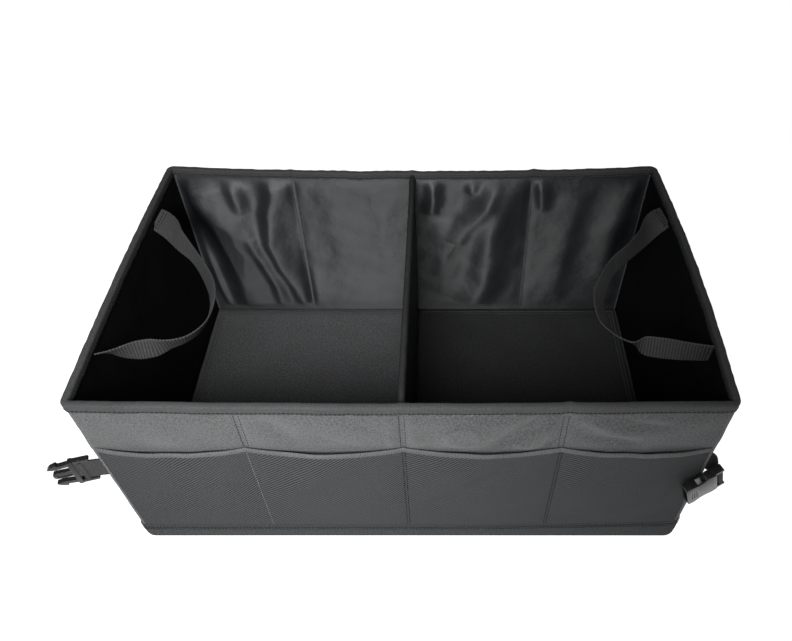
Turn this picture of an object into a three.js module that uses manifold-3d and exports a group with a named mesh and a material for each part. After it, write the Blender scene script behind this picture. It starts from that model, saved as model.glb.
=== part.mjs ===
// Car trunk organizer: an open box of stiffened cloth with two compartments, four mesh pockets
// on the front wall, two webbing handles and the two halves of a side-release buckle.
// Millimetres, +Z up, -Y is the front. The origin is the middle of the face that it stands on.
import * as THREE from "three";
import { mergeVertices } from "three/addons/utils/BufferGeometryUtils.js";
import Module from "manifold-3d";

const wasm = await Module();
wasm.setup();

// Driving dimensions of the box, over its cloth walls.
const BODY_WIDTH = 550;
const BODY_DEPTH = 330;
const BODY_HEIGHT = 230;
const CORNER_RADIUS = 7;

// Layers of a wall, from the outside in.
const FABRIC = 0.8;
const BOARD = 2.5;
const LINING = 0.6;
const TAPE = 0.7;
const SEAT = 0.3;

// Rim, foot and the shape that the cloth takes between its corners.
const RIM_HEM = 12;
const RIM_INNER_HEM = 9;
const FRONT_SAG = 3.5;
const BACK_SAG = 6.5;
const LEFT_BOW = 2.5;
const RIGHT_BOW = 5;
const FOOT_BAND = 24;
const FOOT_BAND_RISE = 9;
const FOOT_BAND_LIFT = 0.3;
const CREASE_DEPTH = 1.5;
const FOLD_GAP = 6;

// Folds of the loose lining on the back wall.
const LINING_FOLD = 3.6;

// Divider and floor.
const DIVIDER_DROP = 8;
const DIVIDER_HEM = 8;
const DIVIDER_FOLD_GAP = 4;
const FLOOR_CLEARANCE = 3;

// Front pockets.
const POCKETS = 4;
const MESH = 0.8;
const POCKET_TOP = 169;
const POCKET_SAG = 6;
const POCKET_BULGE = 8;
const POCKET_HEM = 7.5;
const POCKET_HEM_THICKNESS = 1.4;

// Webbing handles. Each station gives how far the strap's middle is from the end wall, where it
// is along the wall, its drop below the corners of the rim and how far its outer face is turned
// upwards.
const WEBBING = 1.5;
const HANDLE_WIDTH = 25;
const HANDLE_SEGMENTS = 36;
const HANDLE_ROUTE = [
  { reach: 0.7, along: 84, drop: 11, tilt: -90 },
  { reach: 6, along: 84, drop: 16, tilt: -85 },
  { reach: 15, along: 79, drop: 18, tilt: -55 },
  { reach: 30, along: 60, drop: 19, tilt: -12 },
  { reach: 47, along: 41, drop: 20, tilt: -5 },
  { reach: 65, along: 15, drop: 20, tilt: -12 },
  { reach: 76, along: -8, drop: 20, tilt: -20 },
  { reach: 81, along: -27, drop: 20, tilt: -24 },
  { reach: 82, along: -50, drop: 20, tilt: -28 },
  { reach: 78, along: -66, drop: 20, tilt: -33 },
  { reach: 68, along: -78, drop: 20, tilt: -33 },
  { reach: 52, along: -84, drop: 20, tilt: -20 },
  { reach: 38, along: -90, drop: 19, tilt: 4 },
  { reach: 18, along: -100, drop: 18, tilt: 40 },
  { reach: 6, along: -103, drop: 16, tilt: 85 },
  { reach: 0.7, along: -103, drop: 11, tilt: 90 },
];

// Side-release buckle for 25 mm webbing. Each half is drawn with its bar on its own Z axis and
// points along its own +X.
const TAB_WIDTH = 25;
const BAR_RADIUS = 1.7;
const BAR_CLEARANCE = 0.4;
const BUCKLE_WIDTH = 34;
const RAIL_WIDTH = 3.5;
const SHOULDER = 5;
const MALE_RAIL_BACK = 9;
const MALE_BODY_END = 9.5;
const MALE_THICKNESS = 6.5;
const PRONG_END = 28;
const PRONG_THICKNESS = 4.6;
const TONGUE_WIDTH = 8.5;
const FEMALE_RAIL_BACK = 3.4;
const FEMALE_END = 36;
const FEMALE_THICKNESS = 8.6;
const FEMALE_WALL = 1.4;
const SOCKET_DEPTH = 24;
const WINDOW_START = 14;
const WINDOW_END = 24;
const WINDOW_HEIGHT = 7;
const WAIST = 2.2;

// Where the two buckle halves hang at the front corners.
const BUCKLE_HEIGHT = 123.5;
const MALE_OUT = 21;
const MALE_BACK = 5;
const MALE_ANGLE = 195;
const MALE_TAB_BACK = 8;
const FEMALE_OUT = 12;
const FEMALE_BACK = -1.5;
const FEMALE_ANGLE = 203;
const FEMALE_DROOP = 20;
const FEMALE_TAB_BACK = 16;

const HALF_W = BODY_WIDTH / 2;
const HALF_D = BODY_DEPTH / 2;
const STRAIGHT_X = HALF_W - CORNER_RADIUS;
const STRAIGHT_Y = HALF_D - CORNER_RADIUS;
const QUARTER = BODY_WIDTH / 4;
const SEAMS = [-QUARTER, 0, QUARTER];

const BOARD_OUT = FABRIC + SEAT;
const BOARD_IN = BOARD_OUT + BOARD;
const LINING_OUT = BOARD_IN + SEAT;
const WALL = LINING_OUT + LINING;
const HEM_IN = WALL + SEAT + TAPE;
const TOP_DROP = TAPE + SEAT;
const WALL_BASE = FABRIC + SEAT;

const radians = THREE.MathUtils.degToRad;
const lerp = THREE.MathUtils.lerp;

function material(name, color, roughness, metalness = 0) {
  return new THREE.MeshStandardMaterial({ name, color, roughness, metalness });
}

const OXFORD = material("oxford", 0x3f4244, 0.9);
const SATIN = material("satin_lining", 0x2a2c31, 0.55);
const TAPE_CLOTH = material("tape", 0x4a4d4f, 0.9);
const CARD = material("stiffener", 0x6b5a45, 0.95);
const NET = material("mesh", 0x36393a, 0.85);
const STRAP = material("webbing", 0x55585a, 0.85);
const PLASTIC = material("buckle_plastic", 0x232525, 0.45);

const group = new THREE.Group();

function add(name, geometry, look, parent = group) {
  const mesh = new THREE.Mesh(geometry, look);
  mesh.name = name;
  parent.add(mesh);
}

// Signed volume of an indexed geometry, positive where its faces point out.
function signedVolume(position, index) {
  const a = new THREE.Vector3();
  const b = new THREE.Vector3();
  const c = new THREE.Vector3();
  let sum = 0;
  for (let i = 0; i < index.length; i += 3) {
    a.fromArray(position, 3 * index[i]);
    b.fromArray(position, 3 * index[i + 1]);
    c.fromArray(position, 3 * index[i + 2]);
    sum += a.dot(b.cross(c)) / 6;
  }
  return sum;
}

function closedGeometry(position, index) {
  const facing = signedVolume(position, index) < 0 ? index.reverse() : index;
  const geometry = new THREE.BufferGeometry();
  geometry.setAttribute("position", new THREE.Float32BufferAttribute(position, 3));
  geometry.setIndex(facing);
  return geometry;
}

// A sheet with two faces: place(i, j, face) gives the point of column i and row j on face 0 or 1.
// A ring joins its last column to its first.
function sheet(columns, rows, place, ring = false) {
  const position = [];
  for (let i = 0; i < columns; i++)
    for (let j = 0; j < rows; j++)
      for (let face = 0; face < 2; face++) position.push(...place(i, j, face));
  const at = (i, j, face) => ((i % columns) * rows + j) * 2 + face;
  const index = [];
  const quad = (a, b, c, d) => index.push(a, b, c, a, c, d);
  const spans = ring ? columns : columns - 1;
  for (let i = 0; i < spans; i++) {
    for (let j = 0; j < rows - 1; j++) {
      quad(at(i, j, 0), at(i + 1, j, 0), at(i + 1, j + 1, 0), at(i, j + 1, 0));
      quad(at(i, j, 1), at(i, j + 1, 1), at(i + 1, j + 1, 1), at(i + 1, j, 1));
    }
    const last = rows - 1;
    quad(at(i, 0, 0), at(i, 0, 1), at(i + 1, 0, 1), at(i + 1, 0, 0));
    quad(at(i, last, 0), at(i + 1, last, 0), at(i + 1, last, 1), at(i, last, 1));
  }
  if (!ring)
    for (let j = 0; j < rows - 1; j++) {
      const end = columns - 1;
      quad(at(0, j, 0), at(0, j + 1, 0), at(0, j + 1, 1), at(0, j, 1));
      quad(at(end, j, 0), at(end, j, 1), at(end, j + 1, 1), at(end, j + 1, 0));
    }
  return closedGeometry(position, index);
}

// Numbers spaced evenly from start to end, both included.
function spaced(start, end, spans) {
  return Array.from({ length: spans + 1 }, (_, i) => lerp(start, end, i / spans));
}

// Manifold solids, for the moulded buckle.
function toSolid(geometry) {
  const bare = geometry.clone();
  bare.deleteAttribute("normal");
  bare.deleteAttribute("uv");
  const merged = mergeVertices(bare, 1e-4);
  return new wasm.Manifold(
    new wasm.Mesh({
      numProp: 3,
      vertProperties: new Float32Array(merged.attributes.position.array),
      triVerts: new Uint32Array(merged.index.array),
    }),
  );
}

function toGeometry(solid) {
  const mesh = solid.getMesh();
  const geometry = new THREE.BufferGeometry();
  geometry.setAttribute("position", new THREE.Float32BufferAttribute(mesh.vertProperties, 3));
  geometry.setIndex(Array.from(mesh.triVerts));
  return geometry;
}

function joined(solids) {
  return solids.reduce((sum, solid) => sum.add(solid));
}

function block(x0, x1, y0, y1, z0, z1) {
  const geometry = new THREE.BoxGeometry(x1 - x0, y1 - y0, z1 - z0);
  return geometry.translate((x0 + x1) / 2, (y0 + y1) / 2, (z0 + z1) / 2);
}

// Cloth walls. A station is a point of the box's outline with its outward normal.
function cornerStations(signX, signY, fromAngle, steps = 4) {
  return spaced(fromAngle, fromAngle + 90, steps).map((angle) => {
    const nx = Math.cos(radians(angle));
    const ny = Math.sin(radians(angle));
    return {
      x: signX * STRAIGHT_X + CORNER_RADIUS * nx,
      y: signY * STRAIGHT_Y + CORNER_RADIUS * ny,
      nx,
      ny,
    };
  });
}

// Places along a long wall: close to each seam, and evenly between two seams.
function seamStops(spansPerQuarter) {
  const stops = [];
  const edges = [-STRAIGHT_X, ...SEAMS, STRAIGHT_X];
  for (let q = 0; q < edges.length - 1; q++) {
    const start = q === 0 ? edges[q] : edges[q] + FOLD_GAP / 2;
    const end = q === edges.length - 2 ? edges[q + 1] : edges[q + 1] - FOLD_GAP / 2;
    stops.push(...spaced(start, end, spansPerQuarter));
    if (q < edges.length - 2) stops.push(edges[q + 1]);
  }
  return stops;
}

function longWallStations(sign, spansPerQuarter = 3) {
  const straight = seamStops(spansPerQuarter)
    .slice(1, -1)
    .map((x) => ({ x, y: sign * HALF_D, nx: 0, ny: sign }));
  if (sign < 0)
    return [...cornerStations(-1, -1, 180), ...straight, ...cornerStations(1, -1, 270)];
  return [...cornerStations(1, 1, 0), ...straight.reverse(), ...cornerStations(-1, 1, 90)];
}

function endWallStations(sign, start, end, spans = 8) {
  return spaced(start, end, spans).map((y) => ({ x: sign * HALF_W, y, nx: sign, ny: 0 }));
}

const END_LIMIT = STRAIGHT_Y - SEAT;
const FRONT = longWallStations(-1);
const BACK = longWallStations(1);
const RIGHT = endWallStations(1, -END_LIMIT, END_LIMIT);
const LEFT = endWallStations(-1, END_LIMIT, -END_LIMIT);
const OUTLINE = [...FRONT, ...RIGHT, ...BACK, ...LEFT];

// Height of the rim at a station: the long walls sag between their corners.
function rimHeight({ x, y }) {
  const sag = y < 0 ? FRONT_SAG : BACK_SAG;
  const onLongWall = Math.abs(y) > END_LIMIT + SEAT / 2 ? 1 : 0;
  return BODY_HEIGHT - onLongWall * sag * Math.max(0, 1 - (x / STRAIGHT_X) ** 2);
}

// How far an end wall bows outwards.
function bow(x, y, z) {
  if (Math.abs(y) >= END_LIMIT || Math.abs(x) < STRAIGHT_X - SEAT) return 0;
  const most = x < 0 ? LEFT_BOW : RIGHT_BOW;
  return most * Math.cos((Math.PI * y) / (2 * END_LIMIT)) * (z / BODY_HEIGHT) ** 2;
}

// A point of the wall, inset from the outer cloth face.
function wallPoint(station, inset, z) {
  const out = bow(station.x, station.y, z) - inset;
  return [station.x + station.nx * out, station.y + station.ny * out, z];
}

function creaseAt({ x, ny }) {
  if (Math.abs(ny) < 1) return 0;
  return SEAMS.includes(x) ? CREASE_DEPTH : 0;
}

// Height just under the inner hem of the rim.
function hemFoot(station) {
  return rimHeight(station) - RIM_INNER_HEM - SEAT;
}

function wallSheet(stations, rows, outer, inner, shape = () => 0) {
  return sheet(stations.length, rows, (i, j, face) => {
    const station = stations[i];
    const atTop = j === rows - 1;
    const under = lerp(WALL_BASE, hemFoot(station), j / (rows - 2));
    const z = atTop ? rimHeight(station) - TOP_DROP : under;
    return wallPoint(station, (face ? inner : outer) + shape(station, z), z);
  });
}

function addOuterWalls() {
  add("front_panel", wallSheet(FRONT, 3, 0, FABRIC, creaseAt), OXFORD);
  add("back_panel", wallSheet(BACK, 3, 0, FABRIC, creaseAt), OXFORD);
  add("left_panel", wallSheet(LEFT, 6, 0, FABRIC), OXFORD);
  add("right_panel", wallSheet(RIGHT, 6, 0, FABRIC), OXFORD);
  const bottom = new THREE.Shape(OUTLINE.map(({ x, y }) => new THREE.Vector2(x, y)));
  const plate = new THREE.ExtrudeGeometry(bottom, { depth: FABRIC, bevelEnabled: false });
  add("bottom_panel", plate, OXFORD);
}

// Folds of the back lining: it hangs loose in the quarters beside the end walls and the divider.
function liningFold(station, z) {
  const { x, ny } = station;
  if (ny < 1 || Math.abs(x) > STRAIGHT_X) return 0;
  const quarter = Math.floor((x + HALF_W) / QUARTER);
  const across = ((x + HALF_W) % QUARTER) / QUARTER;
  const up = Math.min(1, z / hemFoot(station));
  const looseness = [1, 0.15, 0.9, 0.35][quarter];
  const waves = 0.5 - 0.5 * Math.cos(2 * Math.PI * (2 * across + 0.5 * up));
  return looseness * LINING_FOLD * waves * Math.sin(Math.PI * across) * Math.sin(Math.PI * up);
}

function addLining() {
  const fine = longWallStations(1, 6);
  add("front_lining", wallSheet(FRONT, 3, LINING_OUT, WALL), SATIN);
  add("back_lining", wallSheet(fine, 9, LINING_OUT, WALL, liningFold), SATIN);
  add("left_lining", wallSheet(LEFT, 6, LINING_OUT, WALL), SATIN);
  add("right_lining", wallSheet(RIGHT, 6, LINING_OUT, WALL), SATIN);
}

// Stiffening boards: four in each long wall and two in each end wall.
function addWallBoards() {
  const edges = [-STRAIGHT_X - FOLD_GAP / 2, ...SEAMS, STRAIGHT_X + FOLD_GAP / 2];
  for (const [wall, sign] of [
    ["front", -1],
    ["back", 1],
  ])
    for (let q = 0; q < edges.length - 1; q++) {
      const xs = spaced(edges[q] + FOLD_GAP / 2, edges[q + 1] - FOLD_GAP / 2, 3);
      const stations = xs.map((x) => ({ x, y: sign * HALF_D, nx: 0, ny: sign }));
      add(`${wall}_board_${q + 1}`, wallSheet(stations, 3, BOARD_OUT, BOARD_IN), CARD);
    }
  for (const [wall, sign] of [
    ["left", -1],
    ["right", 1],
  ]) {
    const front = endWallStations(sign, -END_LIMIT, -FOLD_GAP / 2, 4);
    const rear = endWallStations(sign, FOLD_GAP / 2, END_LIMIT, 4);
    add(`${wall}_board_front`, wallSheet(front, 6, BOARD_OUT, BOARD_IN), CARD);
    add(`${wall}_board_rear`, wallSheet(rear, 6, BOARD_OUT, BOARD_IN), CARD);
  }
}

// Tape folded over the rim, from the hem outside to the hem inside.
function addRimBinding() {
  const out = -(SEAT + TAPE);
  const faces = [
    [
      [out, -RIM_HEM],
      [out, 0],
      [HEM_IN, 0],
      [HEM_IN, -RIM_INNER_HEM],
    ],
    [
      [-SEAT, -RIM_HEM],
      [-SEAT, -TAPE],
      [WALL + SEAT, -TAPE],
      [WALL + SEAT, -RIM_INNER_HEM],
    ],
  ];
  const place = (i, j, face) => {
    const [inset, below] = faces[face][j];
    return wallPoint(OUTLINE[i], inset, rimHeight(OUTLINE[i]) + below);
  };
  add("rim_binding", sheet(OUTLINE.length, faces[0].length, place, true), TAPE_CLOTH);
}

// Height of the band round the foot, which stands higher at the front right corner.
function footTop({ x, y }) {
  const right = Math.max(0, x / HALF_W) ** 2;
  return FOOT_BAND + FOOT_BAND_RISE * right * (0.5 - y / BODY_DEPTH);
}

function addFootBand() {
  const place = (i, j, face) => {
    const inset = face ? -SEAT : -(SEAT + TAPE);
    return wallPoint(OUTLINE[i], inset, j ? footTop(OUTLINE[i]) : FOOT_BAND_LIFT);
  };
  add("foot_band", sheet(OUTLINE.length, 2, place, true), OXFORD);
}

// Divider: two boards in a cloth sleeve that is open at its foot, with tape on its top edge.
const SLEEVE_HALF = BOARD / 2 + SEAT + LINING;
const DIVIDER_END = HALF_D - HEM_IN - SEAT;
const DIVIDER_TOP = BODY_HEIGHT - DIVIDER_DROP;
const SLEEVE_TOP = DIVIDER_TOP - TAPE - SEAT;

function foldedOver(half, top, foot, thickness) {
  const ends = [-DIVIDER_END, DIVIDER_END];
  const faces = [half, half - thickness].map((x, face) => {
    const z = top - face * thickness;
    return [
      [-x, foot],
      [-x, z],
      [x, z],
      [x, foot],
    ];
  });
  return sheet(2, 4, (i, j, face) => {
    const [x, z] = faces[face][j];
    return [x, ends[i], z];
  });
}

function addDivider() {
  const boardTop = SLEEVE_TOP - LINING - SEAT;
  const tapeHalf = SLEEVE_HALF + SEAT + TAPE;
  const half = BOARD / 2;
  const gap = DIVIDER_FOLD_GAP / 2;
  const front = block(-half, half, -DIVIDER_END, -gap, WALL_BASE, boardTop);
  const rear = block(-half, half, gap, DIVIDER_END, WALL_BASE, boardTop);
  add("divider_board_front", front, CARD);
  add("divider_board_rear", rear, CARD);
  add("divider_cover", foldedOver(SLEEVE_HALF, SLEEVE_TOP, WALL_BASE, LINING), SATIN);
  const tape = foldedOver(tapeHalf, DIVIDER_TOP, DIVIDER_TOP - DIVIDER_HEM, TAPE);
  add("divider_binding", tape, TAPE_CLOTH);
}

// Floor: a loose board in a cloth cover in each compartment. The cover's mouth is at the divider.
function addFloor() {
  const near = SLEEVE_HALF + SEAT;
  const far = HALF_W - WALL - FLOOR_CLEARANCE;
  const deep = HALF_D - WALL - FLOOR_CLEARANCE;
  const skin = LINING + SEAT;
  const top = WALL_BASE + BOARD + 2 * skin;
  for (const [side, sign] of [
    ["left", -1],
    ["right", 1],
  ]) {
    const span = (a, b) => (sign < 0 ? [-b, -a] : [a, b]);
    const outer = block(...span(near, far), -deep, deep, WALL_BASE, top);
    const hollow = block(
      ...span(near - 1, far - LINING),
      -deep + LINING,
      deep - LINING,
      WALL_BASE + LINING,
      top - LINING,
    );
    const cover = toSolid(outer).subtract(toSolid(hollow));
    add(`floor_cover_${side}`, toGeometry(cover), OXFORD);
    const board = block(
      ...span(near, far - skin),
      -deep + skin,
      deep - skin,
      WALL_BASE + skin,
      top - skin,
    );
    add(`floor_board_${side}`, board, CARD);
  }
}

// Front pockets: one strip of mesh sewn down at the seams and at the foot, and bulging between.
const POCKET_EDGES = [-STRAIGHT_X, ...SEAMS, STRAIGHT_X];

function pocketWave(x) {
  const q = Math.min(POCKETS - 1, POCKET_EDGES.findLastIndex((edge) => edge <= x));
  const across = (x - POCKET_EDGES[q]) / (POCKET_EDGES[q + 1] - POCKET_EDGES[q]);
  return Math.max(0, Math.sin(Math.PI * across)) ** 0.8;
}

function pocketPoint(x, z, foot, outward) {
  const up = (z - foot) / (POCKET_TOP - foot);
  const bulge = POCKET_BULGE * pocketWave(x) * Math.sin((Math.PI / 2) * Math.min(1, up));
  return [x, -HALF_D - SEAT - bulge - outward, z];
}

function pocketStrip(rows, thickness, lower, upper) {
  const xs = [];
  for (let q = 0; q < POCKETS; q++)
    xs.push(...spaced(POCKET_EDGES[q], POCKET_EDGES[q + 1], 8).slice(q ? 1 : 0));
  return sheet(xs.length, rows, (i, j, face) => {
    const x = xs[i];
    const foot = footTop({ x, y: -HALF_D }) + SEAT;
    const top = POCKET_TOP - POCKET_SAG * pocketWave(x);
    const z = lerp(lower(foot, top), upper(top), j / (rows - 1));
    return pocketPoint(x, z, foot, face ? 0 : thickness);
  });
}

function addPockets() {
  const mesh = pocketStrip(
    6,
    MESH,
    (foot) => foot,
    (top) => top - POCKET_HEM - SEAT,
  );
  const hem = pocketStrip(
    2,
    POCKET_HEM_THICKNESS,
    (foot, top) => top - POCKET_HEM,
    (top) => top,
  );
  add("pocket_mesh", mesh, NET);
  add("pocket_binding", hem, TAPE_CLOTH);
}

// Handles: a flat strap along a smooth curve, with its width turned at each station.
function handle(sign) {
  const inner = HALF_W - WALL - SEAT - WEBBING / 2;
  const route = new THREE.CatmullRomCurve3(
    HANDLE_ROUTE.map(({ reach, along, drop }) => {
      const height = BODY_HEIGHT - drop;
      const wall = inner + bow(sign * HALF_W, along, height);
      return new THREE.Vector3(sign * (wall - reach), along, height);
    }),
  );
  const up = new THREE.Vector3(0, 0, 1);
  const stations = [];
  for (let i = 0; i <= HANDLE_SEGMENTS; i++) {
    const t = i / HANDLE_SEGMENTS;
    const at = t * (HANDLE_ROUTE.length - 1);
    const from = Math.min(HANDLE_ROUTE.length - 2, Math.floor(at));
    const tilt = lerp(HANDLE_ROUTE[from].tilt, HANDLE_ROUTE[from + 1].tilt, at - from);
    const tangent = route.getTangent(t);
    const level = new THREE.Vector3().crossVectors(up, tangent).normalize();
    level.multiplyScalar(-sign);
    const upright = new THREE.Vector3().crossVectors(tangent, level).normalize();
    if (upright.z < 0) upright.negate();
    const face = level.clone().multiplyScalar(Math.cos(radians(tilt)));
    face.addScaledVector(upright, Math.sin(radians(tilt)));
    const width = new THREE.Vector3().crossVectors(tangent, face).normalize();
    stations.push({ centre: route.getPoint(t), face, width });
  }
  return sheet(stations.length, 2, (i, j, side) => {
    const { centre, face, width } = stations[i];
    const point = centre.clone().addScaledVector(width, (j - 0.5) * HANDLE_WIDTH);
    return point.addScaledVector(face, (0.5 - side) * WEBBING).toArray();
  });
}

function addHandles() {
  add("left_handle", handle(-1), STRAP);
  add("right_handle", handle(1), STRAP);
}

// A flat outline in a buckle's own XZ plane, given its thickness along Y.
function moulding(points, thickness) {
  const shape = new THREE.Shape(points.map(([x, z]) => new THREE.Vector2(x, z)));
  const geometry = new THREE.ExtrudeGeometry(shape, { depth: thickness, bevelEnabled: false });
  return toSolid(geometry.translate(0, 0, -thickness / 2).rotateX(Math.PI / 2));
}

// An outline with its corners cut back.
function chamfered(x0, x1, z0, z1, cut) {
  return [
    [x0 + cut, z0],
    [x1 - cut, z0],
    [x1, z0 + cut],
    [x1, z1 - cut],
    [x1 - cut, z1],
    [x0 + cut, z1],
    [x0, z1 - cut],
    [x0, z0 + cut],
  ];
}

function mirrored(points) {
  return points.map(([x, z]) => [x, -z]).reverse();
}

function bar() {
  const length = BUCKLE_WIDTH - RAIL_WIDTH;
  return toSolid(new THREE.CylinderGeometry(BAR_RADIUS, BAR_RADIUS, length, 16).rotateX(Math.PI / 2));
}

function rails(back, thickness) {
  const edge = BUCKLE_WIDTH / 2;
  const rail = chamfered(-back, SHOULDER + 2, edge - RAIL_WIDTH, edge, 1);
  return [moulding(rail, thickness), moulding(mirrored(rail), thickness)];
}

function maleBuckle() {
  const edge = BUCKLE_WIDTH / 2;
  const body = moulding(chamfered(SHOULDER, MALE_BODY_END, -edge, edge, 1.2), MALE_THICKNESS);
  const prong = [
    [MALE_BODY_END - 2, edge - 5.5],
    [PRONG_END - 7, edge - 7.2],
    [PRONG_END, edge - 5.6],
    [PRONG_END - 3, edge - 2.6],
    [PRONG_END - 9, edge],
    [PRONG_END - 9.5, edge - 3],
    [MALE_BODY_END - 2, edge - 1.2],
  ];
  const half = TONGUE_WIDTH / 2;
  const tongue = chamfered(MALE_BODY_END - 2, PRONG_END - 2, -half, half, 1.4);
  const arms = [prong, mirrored(prong), tongue].map((points) => moulding(points, PRONG_THICKNESS));
  return toGeometry(joined([body, ...rails(MALE_RAIL_BACK, MALE_THICKNESS * 0.8), bar(), ...arms]));
}

function femaleBuckle() {
  const edge = BUCKLE_WIDTH / 2;
  const middle = (SHOULDER + FEMALE_END) / 2;
  const flank = [
    [FEMALE_END, edge - 1.5],
    [FEMALE_END - 2, edge],
    [middle + 6, edge - 0.4 * WAIST],
    [middle, edge - WAIST],
    [middle - 6, edge - 0.4 * WAIST],
    [SHOULDER + 1.5, edge],
    [SHOULDER, edge - 1.5],
  ];
  const shell = moulding([...mirrored(flank), ...flank], FEMALE_THICKNESS);
  const hollowHalf = FEMALE_THICKNESS / 2 - FEMALE_WALL;
  const hollowEdge = edge - WAIST - FEMALE_WALL;
  const bottom = FEMALE_END - SOCKET_DEPTH;
  const socket = block(bottom, FEMALE_END + 1, -hollowHalf, hollowHalf, -hollowEdge, hollowEdge);
  const windowHalf = Math.min(WINDOW_HEIGHT / 2, hollowHalf);
  const windows = block(
    WINDOW_START,
    WINDOW_END,
    -windowHalf,
    windowHalf,
    -edge - 1,
    edge + 1,
  );
  const body = shell.subtract(toSolid(socket)).subtract(toSolid(windows));
  return toGeometry(joined([body, ...rails(FEMALE_RAIL_BACK, FEMALE_THICKNESS * 0.8), bar()]));
}

// Leans a tab over with its bar: fully at the loop, and less and less towards the wall.
function leaned(geometry, reach, angle, droop) {
  const loop = 2 * BAR_RADIUS + WEBBING;
  const axis = new THREE.Vector3(-Math.sin(radians(angle)), Math.cos(radians(angle)), 0);
  const position = geometry.getAttribute("position");
  const point = new THREE.Vector3();
  for (let i = 0; i < position.count; i++) {
    point.fromBufferAttribute(position, i);
    const share = 1 - THREE.MathUtils.smoothstep(Math.hypot(point.x, point.y), loop, reach);
    point.applyAxisAngle(axis, share * radians(droop));
    position.setXYZ(i, point.x, point.y, point.z);
  }
  return geometry;
}

// A webbing tab: two plies sewn together from the wall seam to the bar, and a loop round the bar.
// Its route is drawn in plan, relative to the bar.
function webbingTab(route, angle, droop) {
  const curve = new THREE.SplineCurve(route.map(([x, y]) => new THREE.Vector2(x, y)));
  const loopInner = BAR_RADIUS + BAR_CLEARANCE;
  const loopOuter = loopInner + WEBBING;
  const steps = 12;
  const edges = [-1, 1].map((side) =>
    spaced(0, 1, steps).map((t) => {
      const point = curve.getPoint(t);
      const tangent = curve.getTangent(t);
      const off = new THREE.Vector2(-tangent.y, tangent.x);
      return point.addScaledVector(off, side * WEBBING);
    }),
  );
  const strip = new THREE.Shape([...edges[0], ...edges[1].reverse()]);
  const options = { depth: TAB_WIDTH, bevelEnabled: false };
  const plies = toSolid(new THREE.ExtrudeGeometry(strip, options));
  const round = (radius, length) =>
    toSolid(new THREE.CylinderGeometry(radius, radius, length, 20).rotateX(Math.PI / 2));
  const lift = [0, 0, -TAB_WIDTH / 2];
  const loop = plies.translate(lift).add(round(loopOuter, TAB_WIDTH));
  const tab = toGeometry(loop.subtract(round(loopInner, TAB_WIDTH + 2)));
  const reach = 0.7 * Math.hypot(...route[0]);
  return leaned(tab, reach, angle, droop);
}

// A buckle half and its tab at a front corner, at an angle in plan and drooping at its far end.
function addBuckle(name, geometry, x, y, angle, droop, route) {
  const place = new THREE.Group();
  place.position.set(x, y, BUCKLE_HEIGHT);
  group.add(place);
  const turned = new THREE.Group();
  turned.rotation.set(0, radians(droop), radians(angle), "ZYX");
  place.add(turned);
  add(`${name}_buckle`, geometry, PLASTIC, turned);
  add(`${name}_webbing`, webbingTab(route, angle, droop), STRAP, place);
}

// How far the end wall reaches out where a tab is sewn to it: its bow at the tab's highest and
// rearmost corner.
function seatBow(sign, y) {
  return bow(sign * HALF_W, y + 2 * WEBBING, BUCKLE_HEIGHT + TAB_WIDTH / 2);
}

function addBuckles() {
  const maleX = -HALF_W - MALE_OUT;
  const maleY = -HALF_D + MALE_BACK;
  const maleSeam = MALE_TAB_BACK - MALE_BACK;
  const maleWall = MALE_OUT - SEAT - seatBow(-1, maleY + maleSeam);
  const curved = [
    [maleWall, maleSeam],
    [0.6 * maleWall, 0.7 * maleSeam],
    [BAR_RADIUS, 0],
  ];
  addBuckle("male", maleBuckle(), maleX, maleY, MALE_ANGLE, 0, curved);

  const femaleX = HALF_W + FEMALE_OUT;
  const femaleY = -HALF_D + FEMALE_BACK;
  const seamY = FEMALE_TAB_BACK - FEMALE_BACK;
  const femaleWall = FEMALE_OUT - SEAT - seatBow(1, femaleY + seamY);
  const bent = [
    [-femaleWall, seamY],
    [-0.6 * femaleWall, 0.97 * seamY],
    [-0.12 * femaleWall, 0.56 * seamY],
    [0, BAR_RADIUS],
  ];
  addBuckle("female", femaleBuckle(), femaleX, femaleY, FEMALE_ANGLE, FEMALE_DROOP, bent);
}

addOuterWalls();
addLining();
addWallBoards();
addRimBinding();
addFootBand();
addDivider();
addFloor();
addPockets();
addHandles();
addBuckles();

export default group;
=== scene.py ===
import math

import bmesh
import bpy
import numpy as np
from mathutils import Matrix, Vector


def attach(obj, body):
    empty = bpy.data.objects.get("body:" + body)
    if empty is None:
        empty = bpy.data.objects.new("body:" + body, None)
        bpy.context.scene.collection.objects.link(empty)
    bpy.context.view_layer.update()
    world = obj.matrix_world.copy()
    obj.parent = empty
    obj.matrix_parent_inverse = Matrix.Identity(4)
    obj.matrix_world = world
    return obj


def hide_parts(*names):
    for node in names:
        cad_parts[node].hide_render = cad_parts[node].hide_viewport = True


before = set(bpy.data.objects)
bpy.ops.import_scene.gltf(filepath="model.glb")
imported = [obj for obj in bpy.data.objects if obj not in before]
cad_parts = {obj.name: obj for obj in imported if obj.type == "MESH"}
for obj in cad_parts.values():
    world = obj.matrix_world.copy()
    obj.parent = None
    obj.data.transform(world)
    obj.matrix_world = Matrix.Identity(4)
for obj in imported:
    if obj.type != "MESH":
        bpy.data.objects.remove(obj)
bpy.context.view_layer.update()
MM = 0.001

# The box and its layers, as in the CAD part.
BODY_WIDTH = 550
BODY_DEPTH = 330
BODY_HEIGHT = 230
CORNER_RADIUS = 7
FABRIC = 0.8
STIFFENER = 2.5
LINING = 0.6
TAPE = 0.7
SEAT = 0.3
FRONT_SAG = 3.5
BACK_SAG = 6.5
LEFT_BOW = 2.5
RIGHT_BOW = 5
FOOT_BAND = 24
FOOT_BAND_RISE = 9
DIVIDER_DROP = 8
DIVIDER_HEM = 8
FLOOR_CLEARANCE = 3
POCKET_TOP = 169
MESH = 0.8
WEBBING = 1.5
HANDLE_WIDTH = 25

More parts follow.
